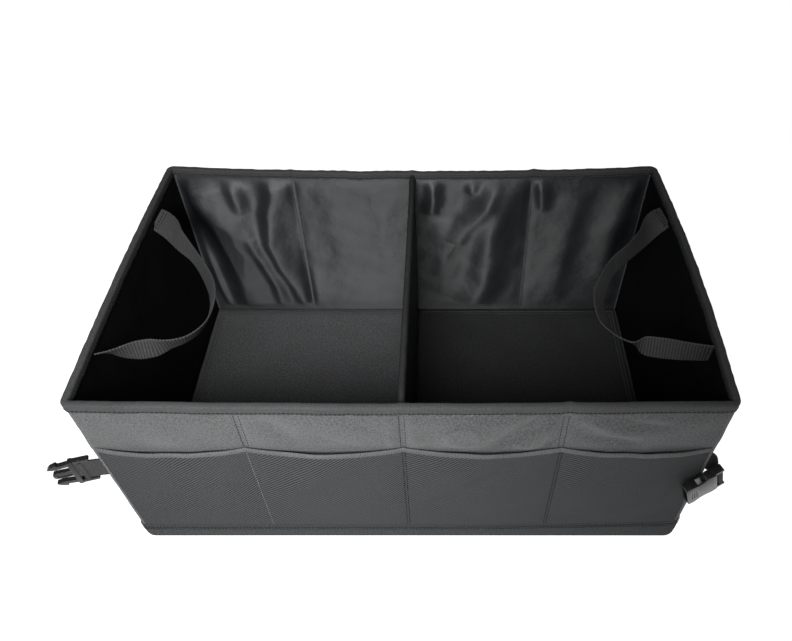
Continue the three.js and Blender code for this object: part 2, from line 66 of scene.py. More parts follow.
# Sizes of the scene's own: the hems and pockets are a little off the CAD part's, after the photo.
RIM_HEM = 9.5
RIM_INNER_HEM = 8
POCKET_SAG = 2.4
POCKET_BULGE = 5.5
POCKET_HEM = 6
OUTER_TOP_DROP = 1.3
LINING_TOP_DROP = 1.4
FOOT_LIFT = 0.35
CORNER_LIFT = 11
CORNER_REACH = 10
CORNER_FADE = 34
MOST_FOLD = 17
RIB = 2.7
SEAM_STITCHES = (-2.2, 2.2)
LINING_STITCHES = (-2.1, 2.1)
POCKET_STITCHES = (-1.3, 1.3)

HALF_W = BODY_WIDTH / 2
HALF_D = BODY_DEPTH / 2
STRAIGHT_X = HALF_W - CORNER_RADIUS
STRAIGHT_Y = HALF_D - CORNER_RADIUS
END_LIMIT = STRAIGHT_Y - SEAT
QUARTER = BODY_WIDTH / 4
SEAMS = (-QUARTER, 0, QUARTER)
WALL_BASE = FABRIC + SEAT
LINING_OUT = WALL_BASE + STIFFENER + SEAT
WALL = LINING_OUT + LINING
HEM_IN = WALL + SEAT + TAPE
DIVIDER_TOP = BODY_HEIGHT - DIVIDER_DROP
DIVIDER_END = HALF_D - HEM_IN - SEAT
SLEEVE_HALF = STIFFENER / 2 + SEAT + LINING
FLOOR_NEAR = SLEEVE_HALF + SEAT
FLOOR_FAR = HALF_W - WALL - FLOOR_CLEARANCE
FLOOR_DEEP = HALF_D - WALL - FLOOR_CLEARANCE
FLOOR_TOP = WALL_BASE + STIFFENER + 2 * (LINING + SEAT)


def placed(name, data):
    """A new object in the scene."""
    thing = bpy.data.objects.new(name, data)
    bpy.context.scene.collection.objects.link(thing)
    return thing


# Camera at the photograph's place, and soft studio light from the upper left front.
camera = placed("camera", bpy.data.cameras.new("camera"))
camera.location = (0.0327, -0.4936, 0.6848)
camera.rotation_euler = (0.7473, 0, 0)
camera.data.lens = 31.5
camera.data.shift_x = -0.0569
camera.data.clip_start = 0.02
bpy.context.scene.camera = camera
bpy.context.scene.view_settings.view_transform = "Standard"


def soft_light(name, place, target, size, power, spread):
    light = bpy.data.lights.new(name, "AREA")
    light.shape = "DISK"
    light.size = size
    light.energy = power
    light.spread = math.radians(spread)
    lamp = placed(name, light)
    lamp.location = place
    lamp.rotation_euler = (Vector(target) - Vector(place)).to_track_quat("-Z", "Y").to_euler()


soft_light("key", (-0.13, -0.74, 0.76), (-0.13, -0.05, 0.1), 0.44, 3.3, 60)
world = bpy.data.worlds.new("studio")
world.use_nodes = True
world.node_tree.nodes["Background"].inputs["Color"].default_value = (1, 1, 1, 1)
world.node_tree.nodes["Background"].inputs["Strength"].default_value = 0.2
bpy.context.scene.world = world


# Materials. A Paint is one material's node tree, and a Value is a number on its way through it.
class Value:
    def __init__(self, paint, socket):
        self.paint = paint
        self.socket = socket

    def __add__(self, other):
        return self.paint.math("ADD", self, other)

    def __sub__(self, other):
        return self.paint.math("SUBTRACT", self, other)

    def __mul__(self, other):
        return self.paint.math("MULTIPLY", self, other)

    def __truediv__(self, other):
        return self.paint.math("DIVIDE", self, other)


class Paint:
    def __init__(self, name):
        self.material = bpy.data.materials.new(name)
        self.material.use_nodes = True
        self.tree = self.material.node_tree
        self.shader = self.tree.nodes["Principled BSDF"]

    def node(self, kind, inputs=None, **settings):
        made = self.tree.nodes.new(kind)
        for key, value in settings.items():
            setattr(made, key, value)
        for key, value in (inputs or {}).items():
            if isinstance(value, Value):
                self.tree.links.new(value.socket, made.inputs[key])
            else:
                made.inputs[key].default_value = value
        return made

    def math(self, operation, *values):
        made = self.node("ShaderNodeMath", dict(enumerate(values)), operation=operation)
        return Value(self, made.outputs[0])

    def sine(self, value):
        return self.math("SINE", value)

    def waves(self, value, period):
        """From -1 to 1, once a period, which is in millimetres."""
        return self.sine(value * (2 * math.pi / (period * MM)))

    def cloth(self):
        """Where a point is on its cloth, in metres along and across."""
        made = self.node("ShaderNodeAttribute", attribute_name="cloth")
        axes = self.node("ShaderNodeSeparateXYZ", {0: Value(self, made.outputs["Vector"])})
        return Value(self, axes.outputs[0]), Value(self, axes.outputs[1])

    def place(self):
        return Value(self, self.node("ShaderNodeTexCoord").outputs["Object"])

    def vector(self, x, y, z=0.0):
        made = self.node("ShaderNodeCombineXYZ", {0: x, 1: y, 2: z})
        return Value(self, made.outputs[0])

    def noise(self, where, size, detail=2.0, rough=0.5):
        """Noise from 0 to 1, with patches of that size in millimetres."""
        inputs = {"Vector": where, "Scale": 1 / (size * MM), "Detail": detail, "Roughness": rough}
        return Value(self, self.node("ShaderNodeTexNoise", inputs).outputs[0])

    def span(self, value, low, high, start=0.0, end=1.0):
        """Value from low..high, spread over start..end and clamped there."""
        inputs = {0: value, 1: low, 2: high, 3: start, 4: end}
        return Value(self, self.node("ShaderNodeMapRange", inputs).outputs[0])

    def mix(self, share, first, second):
        """A colour between two others; each is a Value or three numbers."""
        pair = [c if isinstance(c, Value) else (*c, 1) for c in (first, second)]
        made = self.node("ShaderNodeMix", data_type="RGBA", clamp_factor=True)
        for key, value in ((0, share), (6, pair[0]), (7, pair[1])):
            if isinstance(value, Value):
                self.tree.links.new(value.socket, made.inputs[key])
            else:
                made.inputs[key].default_value = value
        return Value(self, made.outputs[2])

    def bump(self, height, depth, strength=1.0, under=None):
        inputs = {"Height": height, "Distance": depth * MM, "Strength": strength}
        if under is not None:
            inputs["Normal"] = under
        return Value(self, self.node("ShaderNodeBump", inputs).outputs[0])

    def finish(self, color, rough, normal=None, **sockets):
        """Links what varies, sets what doesn't, and returns the material."""
        for key, value in {"Base Color": color, "Roughness": rough, "Normal": normal}.items():
            if isinstance(value, Value):
                self.tree.links.new(value.socket, self.shader.inputs[key])
            elif value is not None:
                self.shader.inputs[key].default_value = value
        for key, value in sockets.items():
            self.shader.inputs[key.replace("_", " ")].default_value = value
        return self.material


def grey(level, warm=0.0):
    """A grey that is a little warm, or cool where warm is below zero."""
    return (level * (1 + warm), level, level * (1 - warm))


def woven(name, level, warm, period, depth, rough, **sockets):
    """Plain weave: each yarn passes over and under the ones that it crosses."""
    paint = Paint(name)
    u, v = paint.cloth()
    along = paint.waves(u, 2 * period)
    across = paint.waves(v, 2 * period)
    over = paint.math("GREATER_THAN", along * across, 0.0)
    under = paint.math("MULTIPLY_ADD", over, -1.0, 1.0)
    lift = paint.math("ABSOLUTE", along) * over
    weave = paint.math("MAXIMUM", lift, paint.math("ABSOLUTE", across) * under)
    where = paint.place()
    patches = paint.noise(where, 45, 3)
    grain = paint.noise(paint.vector(u * 0.5, v), 1.25, 2)
    grain = grain + paint.noise(paint.vector(u, v * 0.5), 1.25, 2)
    grain = grain + paint.noise(where, 1.1, 1)
    shade = paint.span(grain * (1 / 3) + weave * 0.1, 0.42, 0.7)
    mottled = paint.mix(shade, grey(level * 0.35, warm), grey(level * 1.6, warm))
    cool = paint.mix(shade, grey(level * 0.5, warm - 0.05), grey(level * 1.75, warm - 0.05))
    color = paint.mix(paint.span(patches, 0.35, 0.7, 0.0, 0.6), mottled, cool)
    wrinkled = paint.bump(paint.noise(where, 22, 3, 0.45), 0.9, 0.5)
    speckled = paint.bump(grain, 0.3, 0.4, wrinkled)
    normal = paint.bump(weave, depth, 0.6, speckled)
    roughness = paint.span(patches + grain * 0.1, 0.4, 0.9, rough - 0.06, rough + 0.06)
    return paint.finish(color, roughness, normal, Specular_IOR_Level=0.2, **sockets)


def satin(name, level, warm, rough, **sockets):
    """Thin taffeta with fine creases; its upright threads draw the sheen out up and down."""
    paint = Paint(name)
    paint.tree.links.new(paint.vector(0.0, 0.0, 1.0).socket, paint.shader.inputs["Tangent"])
    u, v = paint.cloth()
    where = paint.place()
    patches = paint.noise(where, 60, 2)
    fine = paint.noise(paint.vector(u * 0.4, v), 1.1, 2)
    weave = paint.waves(u, 0.9) * paint.waves(v, 0.9)
    share = paint.span(patches * 0.6 + fine * 0.4, 0.35, 0.65)
    color = paint.mix(share, grey(level * 0.75, warm), grey(level * 1.25, warm))
    creases = paint.bump(paint.noise(where, 30, 3, 0.5), 2.2, 0.6)
    small = paint.bump(paint.noise(where, 7, 3, 0.6), 0.35, 0.6, creases)
    normal = paint.bump(weave, 0.04, 0.4, small)
    roughness = paint.span(fine * 0.5 + patches * 0.5, 0.3, 0.7, rough - 0.05, rough + 0.07)
    return paint.finish(color, roughness, normal, **sockets)


def ribbed(name, level, warm, period, depth, rough):
    """Grosgrain: ribs across the tape, each crossed by fine yarns."""
    paint = Paint(name)
    u, v = paint.cloth()
    ribs = paint.waves(u, period) * 0.5 + 0.5
    yarns = paint.waves(v + u * 0.25, 0.8) * 0.5 + 0.5
    where = paint.place()
    speck = paint.noise(where, 1.3, 2)
    patches = paint.noise(where, 30, 2)
    share = paint.span(ribs * 0.4 + yarns * 0.15 + speck * 0.7, 0.3, 0.95)
    share = paint.span(share * 0.75 + patches * 0.25, 0.1, 0.9)
    color = paint.mix(share, grey(level * 0.35, warm), grey(level * 1.5, warm))
    normal = paint.bump(ribs * 0.8 + yarns * 0.2, depth, 0.7)
    roughness = paint.span(speck, 0.3, 0.7, rough - 0.05, rough + 0.05)
    return paint.finish(color, roughness, normal, Specular_IOR_Level=0.2)


def netting(name, level, warm):
    """Knitted net: strong diagonal wales, weaker ones across them, small holes between."""
    paint = Paint(name)
    u, v = paint.cloth()
    where = paint.place()
    drift = paint.noise(where, 30, 2) * (2.4 * MM)
    wales = paint.waves(u - v * 1.15 + drift, 4.1) * 0.5 + 0.5
    courses = paint.waves(u + v * 1.1, 2.6) * 0.5 + 0.5
    fine = paint.waves(u, 0.9) * paint.waves(v, 0.9)
    patches = paint.noise(where, 48, 2)
    speck = paint.noise(where, 1.4, 2)
    clear = paint.span(patches, 0.4, 0.62, 0.25, 1.0)
    yarn = paint.span((wales - 0.5) * clear * 1.1 + courses * 0.12 + speck * 0.75, 0.02, 0.8)
    color = paint.mix(yarn, grey(level * 0.3, warm), grey(level * 1.75, warm))
    rumpled = paint.bump(paint.noise(where, 26, 3, 0.5), 1.6, 0.4)
    normal = paint.bump(wales * 0.6 + courses * 0.3 + fine * 0.1, 0.35, 0.7, rumpled)
    roughness = paint.span(speck, 0.3, 0.7, 0.8, 0.95)
    return paint.finish(color, roughness, normal, Specular_IOR_Level=0.15)


def twisted(name, level):
    """Sewing thread, with its strands wound round it."""
    paint = Paint(name)
    u, v = paint.cloth()
    strands = paint.sine(u * (2 * math.pi / (0.7 * MM)) + v * (2 * math.pi / MM)) * 0.5 + 0.5
    color = paint.mix(strands, grey(level * 0.6), grey(level * 1.3))
    return paint.finish(color, 0.8, paint.bump(strands, 0.1, 0.8), Specular_IOR_Level=0.1)


def moulded(name, level, warm, rough):
    """Injection-moulded plastic: fine grain, and paler scuffs."""
    paint = Paint(name)
    where = paint.place()
    grain = paint.noise(where, 0.5, 2)
    cloud = paint.noise(where, 12, 3)
    scuffs = paint.span(paint.noise(where, 2.6, 4, 0.7), 0.56, 0.72)
    color = paint.mix(scuffs * 0.35, grey(level, warm), grey(level * 2.6, warm))
    roughness = paint.span(cloud * 0.6 + scuffs * 0.5, 0.2, 0.9, rough - 0.06, rough + 0.12)
    normal = paint.bump(grain, 0.05, 0.35, paint.bump(cloud, 0.4, 0.2))
    return paint.finish(color, roughness, normal, Specular_IOR_Level=0.32)


def cardboard(name):
    """Grey-brown board with pressed fibres."""
    paint = Paint(name)
    where = paint.place()
    fibres = paint.noise(where, 1.4, 4, 0.7)
    cloud = paint.noise(where, 25, 2)
    share = paint.span(fibres * 0.7 + cloud * 0.3, 0.3, 0.7)
    color = paint.mix(share, (0.24, 0.18, 0.11), (0.46, 0.36, 0.25))
    roughness = paint.span(fibres, 0.2, 0.8, 0.85, 1.0)
    return paint.finish(color, roughness, paint.bump(fibres, 0.2, 0.5))


OXFORD = woven("oxford", 0.043, -0.02, 0.55, 0.22, 0.86, Sheen_Weight=0.08, Sheen_Roughness=0.5)
FOOT_OXFORD = woven("foot_oxford", 0.023, -0.04, 0.55, 0.22, 0.86)
LINING_CLOTH = satin("lining", 0.012, -0.1, 0.565, Specular_IOR_Level=0.46, Anisotropic=0.85)
DARK_LINING = satin("dark_lining", 0.010, -0.04, 0.5, Specular_IOR_Level=0.12)
# The end walls' lining is a near-black copy of the lining: painted shade for the dark inner end
# walls.
END_LINING_PAINTED_SHADE = satin("end_lining_painted_shade", 0.004, -0.03, 0.6, Specular_IOR_Level=0.06)
# The two floor covers are a lit and a shaded copy of one oxford: the right one's darker level is
# painted shade for the right compartment.
FLOOR_CLOTH = {
    "left": woven("left_floor_oxford", 0.05, -0.01, 0.5, 0.16, 0.8),
    "right": woven("right_floor_oxford_painted_shade", 0.019, -0.01, 0.5, 0.16, 0.8),
}
TAPE_CLOTH = ribbed("tape", 0.033, -0.02, 1.1, 0.18, 0.85)
# The divider's tape is a darker copy of the rim tape: painted shade for the divider's shaded top
# edge.
DIVIDER_TAPE_PAINTED_SHADE = ribbed("divider_tape", 0.014, -0.02, 1.1, 0.18, 0.6)
ELASTIC = ribbed("elastic", 0.06, -0.02, 1.5, 0.25, 0.8)
NET = netting("net", 0.0235, -0.04)
STRAP = ribbed("webbing", 0.028, -0.01, RIB, 0.3, 0.8)
TAB_STRAP = ribbed("tab_webbing", 0.025, -0.01, RIB / 4, 0.12, 0.8)
THREAD = twisted("thread", 0.1)
DARK_THREAD = twisted("dark_thread", 0.005)
PLASTIC = moulded("buckle_plastic", 0.007, -0.02, 0.34)
BOARD = cardboard("stiffener")


# Meshes. Every cloth piece is a skin with two faces and a true thickness.
def made_piece(name, points, quads, look, cloth):
    """A piece on the box itself; cloth is where each point is on its cloth, in mm."""
    mesh = bpy.data.meshes.new(name)
    mesh.from_pydata((np.asarray(points) * MM).tolist(), [], [list(q) for q in quads])
    mesh.validate()
    layer = mesh.attributes.new("cloth", "FLOAT_VECTOR", "POINT")
    layer.data.foreach_set("vector", (np.asarray(cloth) * MM).astype(np.float32).ravel())
    mesh.shade_smooth()
    mesh.materials.append(look)
    piece = placed(name, mesh)
    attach(piece, "root")
    return piece


def lengths(path):
    """Distance along a path of points, from its start."""
    steps = np.linalg.norm(np.diff(path, axis=0), axis=1)
    return np.concatenate([[0], np.cumsum(steps)])


def sampled(rows, run, at):
    """Rows of numbers known at each place of a run, read off at other places of it."""
    return np.stack([np.interp(at, run, column) for column in rows.T], -1)


def skin_data(outer, inner):
    """Points, quads and cloth places of a sheet between two grids of points."""
    columns, rows = outer.shape[:2]
    count = columns * rows
    index = np.arange(count).reshape(columns, rows)
    a, b = index[:-1, :-1], index[1:, :-1]
    c, d = index[1:, 1:], index[:-1, 1:]
    front = np.stack([a, b, c, d], -1).reshape(-1, 4)
    back = front[:, ::-1] + count
    border = np.concatenate([index[:, 0], index[-1, 1:], index[-2::-1, -1], index[0, -2:0:-1]])
    after = np.roll(border, -1)
    edge = np.stack([after, border, border + count, after + count], -1)
    along = lengths(outer[:, rows // 2])
    across = lengths(outer[columns // 2])
    u, v = np.meshgrid(along, across, indexing="ij")
    places = np.stack([u, v, np.zeros_like(u)], -1).reshape(-1, 3)
    points = np.concatenate([outer.reshape(-1, 3), inner.reshape(-1, 3)])
    return points, np.concatenate([front, back, edge]), np.concatenate([places, places])


def skin(name, outer, inner, look):
    points, quads, places = skin_data(outer, inner)
    return made_piece(name, points, quads, look, places)


def noise_field(seed, size, count=9):
    """A smooth random function of two places in mm, about -1 to 1, with waves near that size."""
    random = np.random.default_rng(seed)
    angle = random.uniform(0, 2 * math.pi, count)
    turns = 2 * math.pi / (size * random.uniform(0.7, 1.8, count))
    phase = random.uniform(0, 2 * math.pi, count)

    def field(x, z):
        total = 0
        for a, k, p in zip(angle, turns, phase):
            total = total + np.sin(k * (x * math.cos(a) + z * math.sin(a)) + p)
        return total / math.sqrt(count)

    return field


def bell(distance, width):
    """1 at no distance, dying away within about twice the width."""
    return np.exp(-((distance / width) ** 2))


def ramp(value, low, high):
    """Smooth step from 0 at low to 1 at high."""
    t = np.clip((value - low) / (high - low), 0, 1)
    return t * t * (3 - 2 * t)


def fold(x, z, height, width, path):
    """Height of a fold that runs down a path of (x, z) points and dies away at its ends.

    Its width may be a pair, for the side towards -x and the side towards +x.
    """
    total = sum(math.dist(p, q) for p, q in zip(path, path[1:]))
    best = np.full(np.shape(x), np.inf)
    at = np.zeros(np.shape(x))
    side = np.zeros(np.shape(x))
    done = 0
    for (x0, z0), (x1, z1) in zip(path, path[1:]):
        length = math.dist((x0, z0), (x1, z1))
        dx, dz = (x1 - x0) / length, (z1 - z0) / length
        t = np.clip((x - x0) * dx + (z - z0) * dz, 0, length)
        away = np.hypot(x - x0 - t * dx, z - z0 - t * dz)
        nearer = away < best
        best = np.where(nearer, away, best)
        at = np.where(nearer, (done + t) / total, at)
        side = np.where(nearer, (x - x0) * dz - (z - z0) * dx, side)
        done += length
    low, high = width if isinstance(width, tuple) else (width, width)
    fade = 0.25 + 0.75 * np.sin(math.pi * np.clip(at, 0, 1)) ** 0.5
    return height * fade * bell(best, np.where(side > 0, low, high))


# Stations round the box: where each is, its outward normal, and its place along its wall.
WALLS = {"left": 180, "front": 270, "right": 0, "back": 90}


def stations(wall, spans, bend=4):
    """Half a corner, the straight wall, and half a corner, going round the box."""
    angle = math.radians(WALLS[wall])
    length = STRAIGHT_X if wall in ("front", "back") else STRAIGHT_Y
    half = HALF_D if wall in ("front", "back") else HALF_W
    start = angle - math.pi / 4 * (1 - np.arange(bend) / bend)
    end = angle + math.pi / 4 * (1 + np.arange(bend)) / bend
    turn = np.concatenate([start, np.full(spans + 1, angle), end])
    along = np.concatenate([np.full(bend, -length), np.linspace(-length, length, spans + 1),
                            np.full(bend, length)])
    normal = np.stack([np.cos(turn), np.sin(turn)], -1)
    straight = np.array([math.cos(angle), math.sin(angle)])
    travel = np.array([-math.sin(angle), math.cos(angle)])
    centre = straight * (half - CORNER_RADIUS) + along[:, None] * travel
    return centre + normal * CORNER_RADIUS, normal


def ring(spans):
    """All four walls in one run, from the back left corner and round to it again."""
    runs = [stations(wall, spans[wall]) for wall in WALLS]
    at = np.concatenate([runs[0][0]] + [r[0][1:] for r in runs[1:]])
    normal = np.concatenate([runs[0][1]] + [r[1][1:] for r in runs[1:]])
    return at, normal


def rim_height(at):
    """Height of the rim, which sags between the corners of the long walls."""
    x, y = at[:, 0], at[:, 1]
    sag = np.where(y < 0, FRONT_SAG, BACK_SAG) * (np.abs(y) > END_LIMIT)
    return BODY_HEIGHT - sag * np.clip(1 - (x / STRAIGHT_X) ** 2, 0, None)


def bow(x, y, z):
    """How far an end wall bows outwards; the long walls don't."""
    most = np.where(x < 0, LEFT_BOW, RIGHT_BOW)
    on_end = (np.abs(y) < END_LIMIT) & (np.abs(x) > STRAIGHT_X)
    wave = np.cos(math.pi * y / (2 * END_LIMIT))
    return np.where(on_end, most * wave * (z / BODY_HEIGHT) ** 2, 0)


def wall_points(at, normal, inset, z):
    """Grid of points, from insets and heights that are (stations, rows)."""
    x, y = at[:, :1], at[:, 1:]
    out = bow(x, y, z) - inset
    return np.stack([x + normal[:, :1] * out, y + normal[:, 1:] * out, z + 0 * out], -1)


def foot_top(at):
    """Height of the foot band, which stands higher at the front right corner."""
    right = np.clip(at[:, 0] / HALF_W, 0, None) ** 2
    return FOOT_BAND + FOOT_BAND_RISE * right * (0.5 - at[:, 1] / BODY_DEPTH)


# Thread. Each stitch is a short spindle that lies along its row.
def stitched(name, rows, length=2.9, gap=0.9, radius=0.32, look=THREAD):
    """Rows are pairs of paths: where the thread runs, and a point off each place's outer side."""
    points, quads, places = [], [], []
    shape = ((0, 0.25), (0.2, 1), (0.8, 1), (1, 0.25))
    sides = 5
    for path, normal in rows:
        run = lengths(path)
        count = int(run[-1] // (length + gap))
        middles = (np.arange(count) + 0.5) * run[-1] / count
        begins = middles - length / 2
        firsts = sampled(path, run, begins)
        lasts = sampled(path, run, middles + length / 2)
        for begin, first, last, out in zip(begins, firsts, lasts, sampled(normal, run, middles)):
            out = out / np.linalg.norm(out)
            side = np.cross(last - first, out)
            side /= np.linalg.norm(side)
            start = len(points)
            for t, wide in shape:
                centre = first + (last - first) * t + out * (0.6 * radius * wide - 0.1)
                for s in range(sides):
                    a = 2 * math.pi * s / sides
                    spoke = side * math.cos(a) + out * math.sin(a) * 0.7
                    points.append(centre + spoke * radius * wide)
                    places.append((begin + t * length, s / sides, 0))
            for k in range(len(shape) - 1):
                for s in range(sides):
                    n = (s + 1) % sides
                    row = start + k * sides
                    quads.append((row + s, row + n, row + sides + n, row + sides + s))
            quads.append(tuple(start + s for s in reversed(range(sides))))
            top = start + (len(shape) - 1) * sides
            quads.append(tuple(top + s for s in range(sides)))
    return made_piece(name, points, quads, look, places)


def facing(path, out):
    """A row of stitches on a path, all of them facing one way."""
    return path, np.tile(np.array(out, float), (len(path), 1))


def row_on(grid, outward=1):
    """Rows of a stitched path from a strip of three grid lines: its middle, with its normals."""
    low, middle, high = grid[:, 0], grid[:, 1], grid[:, 2]
    along = np.gradient(middle, axis=0)
    normal = np.cross(along, high - low) * outward
    normal /= np.linalg.norm(normal, axis=1)[:, None]
    return middle, normal


# Outer cloth walls, in one run round the box, with a groove at each seam of the long walls.
def lean(seam, z):
    """Where a front or back seam is at a height: the side ones lean outwards to the foot."""
    return seam + np.sign(seam) * 3 * (0.45 - z / BODY_HEIGHT)


FRONT_FOLDS = (
    (7, 16, ((44, 206), (60, 178))),
    (-6, 7, ((114, 216), (96, 188), (74, 168))),
    (8, 8, ((126, 210), (112, 184), (100, 170))),
    (-5, 5, ((139, 216), (131, 190), (124, 170))),
    (4, 10, ((158, 206), (176, 198), (204, 192))),
    (-4, 8, ((148, 200), (168, 186), (200, 178))),
    (-3, 6, ((178, 216), (190, 208), (222, 202))),
    (3.0, 18, ((-40, 206), (-54, 182))),
    (-2.2, 10, ((-116, 214), (-100, 188), (-92, 176))),
    (2.0, 18, ((-214, 200), (-190, 180))),
)
front_puff = noise_field(3, 70)
small_puff = noise_field(4, 24)


def outer_relief(x, y, z):
    """How far the outer cloth stands out, with seams, folds and loose places."""
    long_wall = np.abs(y) > END_LIMIT
    across = np.clip(((x + HALF_W) % QUARTER) / QUARTER, 0, 1)
    slack = np.where(long_wall, 1.5 * np.sin(math.pi * across) ** 0.7, 0.4)
    relief = slack * (1 + 0.35 * front_puff(x + 2 * y, z)) + 0.2 * small_puff(x + y, z)
    above_pockets = ramp(z, POCKET_TOP - 5, POCKET_TOP + 13)
    front = y < -END_LIMIT
    quarter = np.clip(np.floor((x + HALF_W) / QUARTER), 0, 3).astype(int)
    looser = np.choose(quarter, (0.2, 0.8, 2.8, 1.8)) * np.sin(math.pi * across) ** 0.5
    relief = relief + np.where(front, looser * above_pockets, 0)
    for piece in FRONT_FOLDS:
        relief = relief + np.where(front, fold(x, z, *piece) * above_pockets, 0)
    relief = relief * ramp(z, 8, 40) * ramp(BODY_HEIGHT - z, 7, 24)
    beside_middle = 2.2 * bell(x + 9, 6) + 1.4 * bell(x - 10, 6)
    beside_middle = beside_middle * above_pockets * ramp(BODY_HEIGHT - z, 9, 20)
    relief = relief + np.where(front, beside_middle, 0)
    for seam in SEAMS:
        off = np.abs(x - lean(seam, z))
        drawn_in = 1 - 0.9 * bell(off, 5)
        relief = np.where(long_wall, relief * drawn_in - 1.3 * bell(off, 1.9), relief)
    behind_net = front & (z < POCKET_TOP - 6)
    return np.clip(np.where(behind_net, np.minimum(relief, 0.25), relief), -0.7, 8)


def corner_lift(x, y):
    """How much the bottom edge rises where it goes round a corner of the box."""
    near_x = np.clip(1 - (HALF_W - np.abs(x)) / CORNER_REACH, 0, 1)
    near_y = np.clip(1 - (HALF_D - np.abs(y)) / CORNER_REACH, 0, 1)
    return CORNER_LIFT * (near_x * near_y) ** 2


def rounded_foot(at, z):
    """What the corners' lift adds to heights z on the walls; it dies away upwards."""
    return corner_lift(at[:, :1], at[:, 1:]) * np.clip(1 - z / CORNER_FADE, 0, 1) ** 2


def outer_cloth():
    at, normal = ring({"left": 50, "front": 310, "right": 50, "back": 100})
    up = np.linspace(0, 1, 86)
    z = WALL_BASE + (rim_height(at)[:, None] - OUTER_TOP_DROP - WALL_BASE) * up
    relief = outer_relief(at[:, :1], at[:, 1:], z)
    z = z + rounded_foot(at, z)
    outer_grid = wall_points(at, normal, -relief, z)
    inner_grid = wall_points(at, normal, np.minimum(FABRIC - relief, 1.0), z)
    piece = skin("outer_cloth", outer_grid, inner_grid, OXFORD)
    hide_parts("front_panel", "back_panel", "left_panel", "right_panel")


def seam_stitching():
    """Two rows of stitches along each seam of the long walls, where no net covers it."""
    rows = []
    for side, low in ((-1, POCKET_TOP), (1, FOOT_BAND + 12)):
        height = np.linspace(low, BODY_HEIGHT - RIM_HEM - 5, 30)
        for seam in SEAMS:
            for off in SEAM_STITCHES:
                x = lean(seam, height) + off
                y = np.full(x.shape, side * HALF_D)
                y = y + side * (outer_relief(x, y, height) + 0.05)
                rows.append(facing(np.stack([x, y, height], -1), (0, side, 0)))
    stitched("seam_stitching", rows, look=DARK_THREAD)


def spread(half, count):
    """Even places from -half to half, with closer ones at the ends for the rounded corners."""
    ends = half - np.array([1, 2, 3, 4.5, 6])
    return np.unique(np.concatenate([np.linspace(-half, half, count), ends, -ends]))


def bottom_cloth():
    """The cloth under the box, creased a little at its fold lines."""
    x = spread(HALF_W - 0.4, 90)[:, None]
    y = spread(HALF_D - 0.4, 56)[None, :]
    x, y = x + 0 * y, y + 0 * x
    sag = noise_field(8, 90)(x, y) * 0.12 + 0.2 + 0.3 * bell(x, 2.5)
    inset = ramp(HALF_W - np.abs(x), 0, 12) * ramp(HALF_D - np.abs(y), 0, 12)
    from_edge = np.minimum(HALF_W - np.abs(x), HALF_D - np.abs(y))
    lift = corner_lift(x, y) * np.clip(1 - from_edge / CORNER_RADIUS, 0, 1) ** 2
    past_x = np.clip(np.abs(x) - STRAIGHT_X, 0, None)
    past_y = np.clip(np.abs(y) - STRAIGHT_Y, 0, None)
    round_off = np.maximum(past_x, past_y) / np.maximum(np.hypot(past_x, past_y), 1e-6)
    drawn_x = np.sign(x) * (np.minimum(np.abs(x), STRAIGHT_X) + past_x * round_off)
    drawn_y = np.sign(y) * (np.minimum(np.abs(y), STRAIGHT_Y) + past_y * round_off)
    x = np.where(past_y > 0, drawn_x, x)
    y = np.where(past_x > 0, drawn_y, y)
    low = np.stack([x, y, sag * inset + lift], -1)
    high = np.stack([x, y, 0 * x + 0.85 + lift], -1)
    piece = skin("bottom_cloth", high, low, OXFORD)
    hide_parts("bottom_panel")


# Lining. Each wall's own cloth, from the floor to the hem, with the folds it hangs in.
BACK_FOLDS = (
    (17, (16, 38), ((-257, 226), (-247, 189), (-233, 154), (-224, 112), (-221, 62), (-223, 12))),
    (4, (4, 6), ((-264, 152), (-263, 107), (-256, 46), (-251, 12))),
    (5, (9, 11), ((-210, 224), (-205, 198), (-200, 172))),
    (10, (10, 21), ((-164, 226), (-162, 198), (-171, 168), (-175, 127), (-167, 88), (-156, 51),
                    (-150, 14))),
    (6.5, (8, 11), ((-200, 136), (-189, 100), (-179, 56), (-178, 14))),
    (1.2, (12, 18), ((-104, 210), (-96, 150), (-92, 80))),
    (1.2, (12, 18), ((-40, 200), (-34, 120), (-34, 60))),
    (6.5, (9, 9), ((22, 222), (24, 190), (21, 166))),
    (5, (7, 7), ((70, 224), (67, 198))),
    (4, (16, 30), ((34, 160), (40, 90), (40, 30))),
    (8, (15, 11), ((99, 222), (83, 184), (62, 150), (52, 124))),
    (14, (22, 22), ((122, 222), (100, 178), (92, 140), (92, 107), (88, 56), (74, 14))),
    (5, (6, 9), ((146, 222), (152, 172))),
    (5, (24, 14), ((192, 200), (184, 110), (180, 30))),
    (7, (20, 12), ((256, 222), (240, 140), (240, 60))),
)
back_swell = noise_field(11, 95)
back_creases = noise_field(12, 30)


def back_folds(x, z):
    """How far the back lining hangs away from its board."""
    quarter = np.clip(np.floor((x + HALF_W) / QUARTER), 0, 3).astype(int)
    loose = np.choose(quarter, (1.5, 1.4, 2.0, 1.6))
    across = ((x + HALF_W) % QUARTER) / QUARTER
    slack = loose * np.sin(math.pi * across) ** 0.6
    relief = slack * (1 + 0.3 * back_swell(x, z)) + 0.15 * loose * back_creases(x, z)
    for piece in BACK_FOLDS:
        relief = relief + fold(x, z, *piece)
    for seam in (-QUARTER, QUARTER):
        off = x - lean(seam, z)
        relief = relief * (1 - 0.97 * bell(off, 5.5))
    free = ramp(z, 4, 22) * ramp(BODY_HEIGHT - RIM_INNER_HEM - BACK_SAG * 0.6 - z, -1, 16)
    ends = ramp(STRAIGHT_X - np.abs(x), -1, 14)
    return np.clip(relief, 0, MOST_FOLD) * free * ends


def calm(x, z):
    """Relief of the linings that lie close to their boards."""
    return 0.25 + 0.2 * noise_field(17, 60)(x, z)


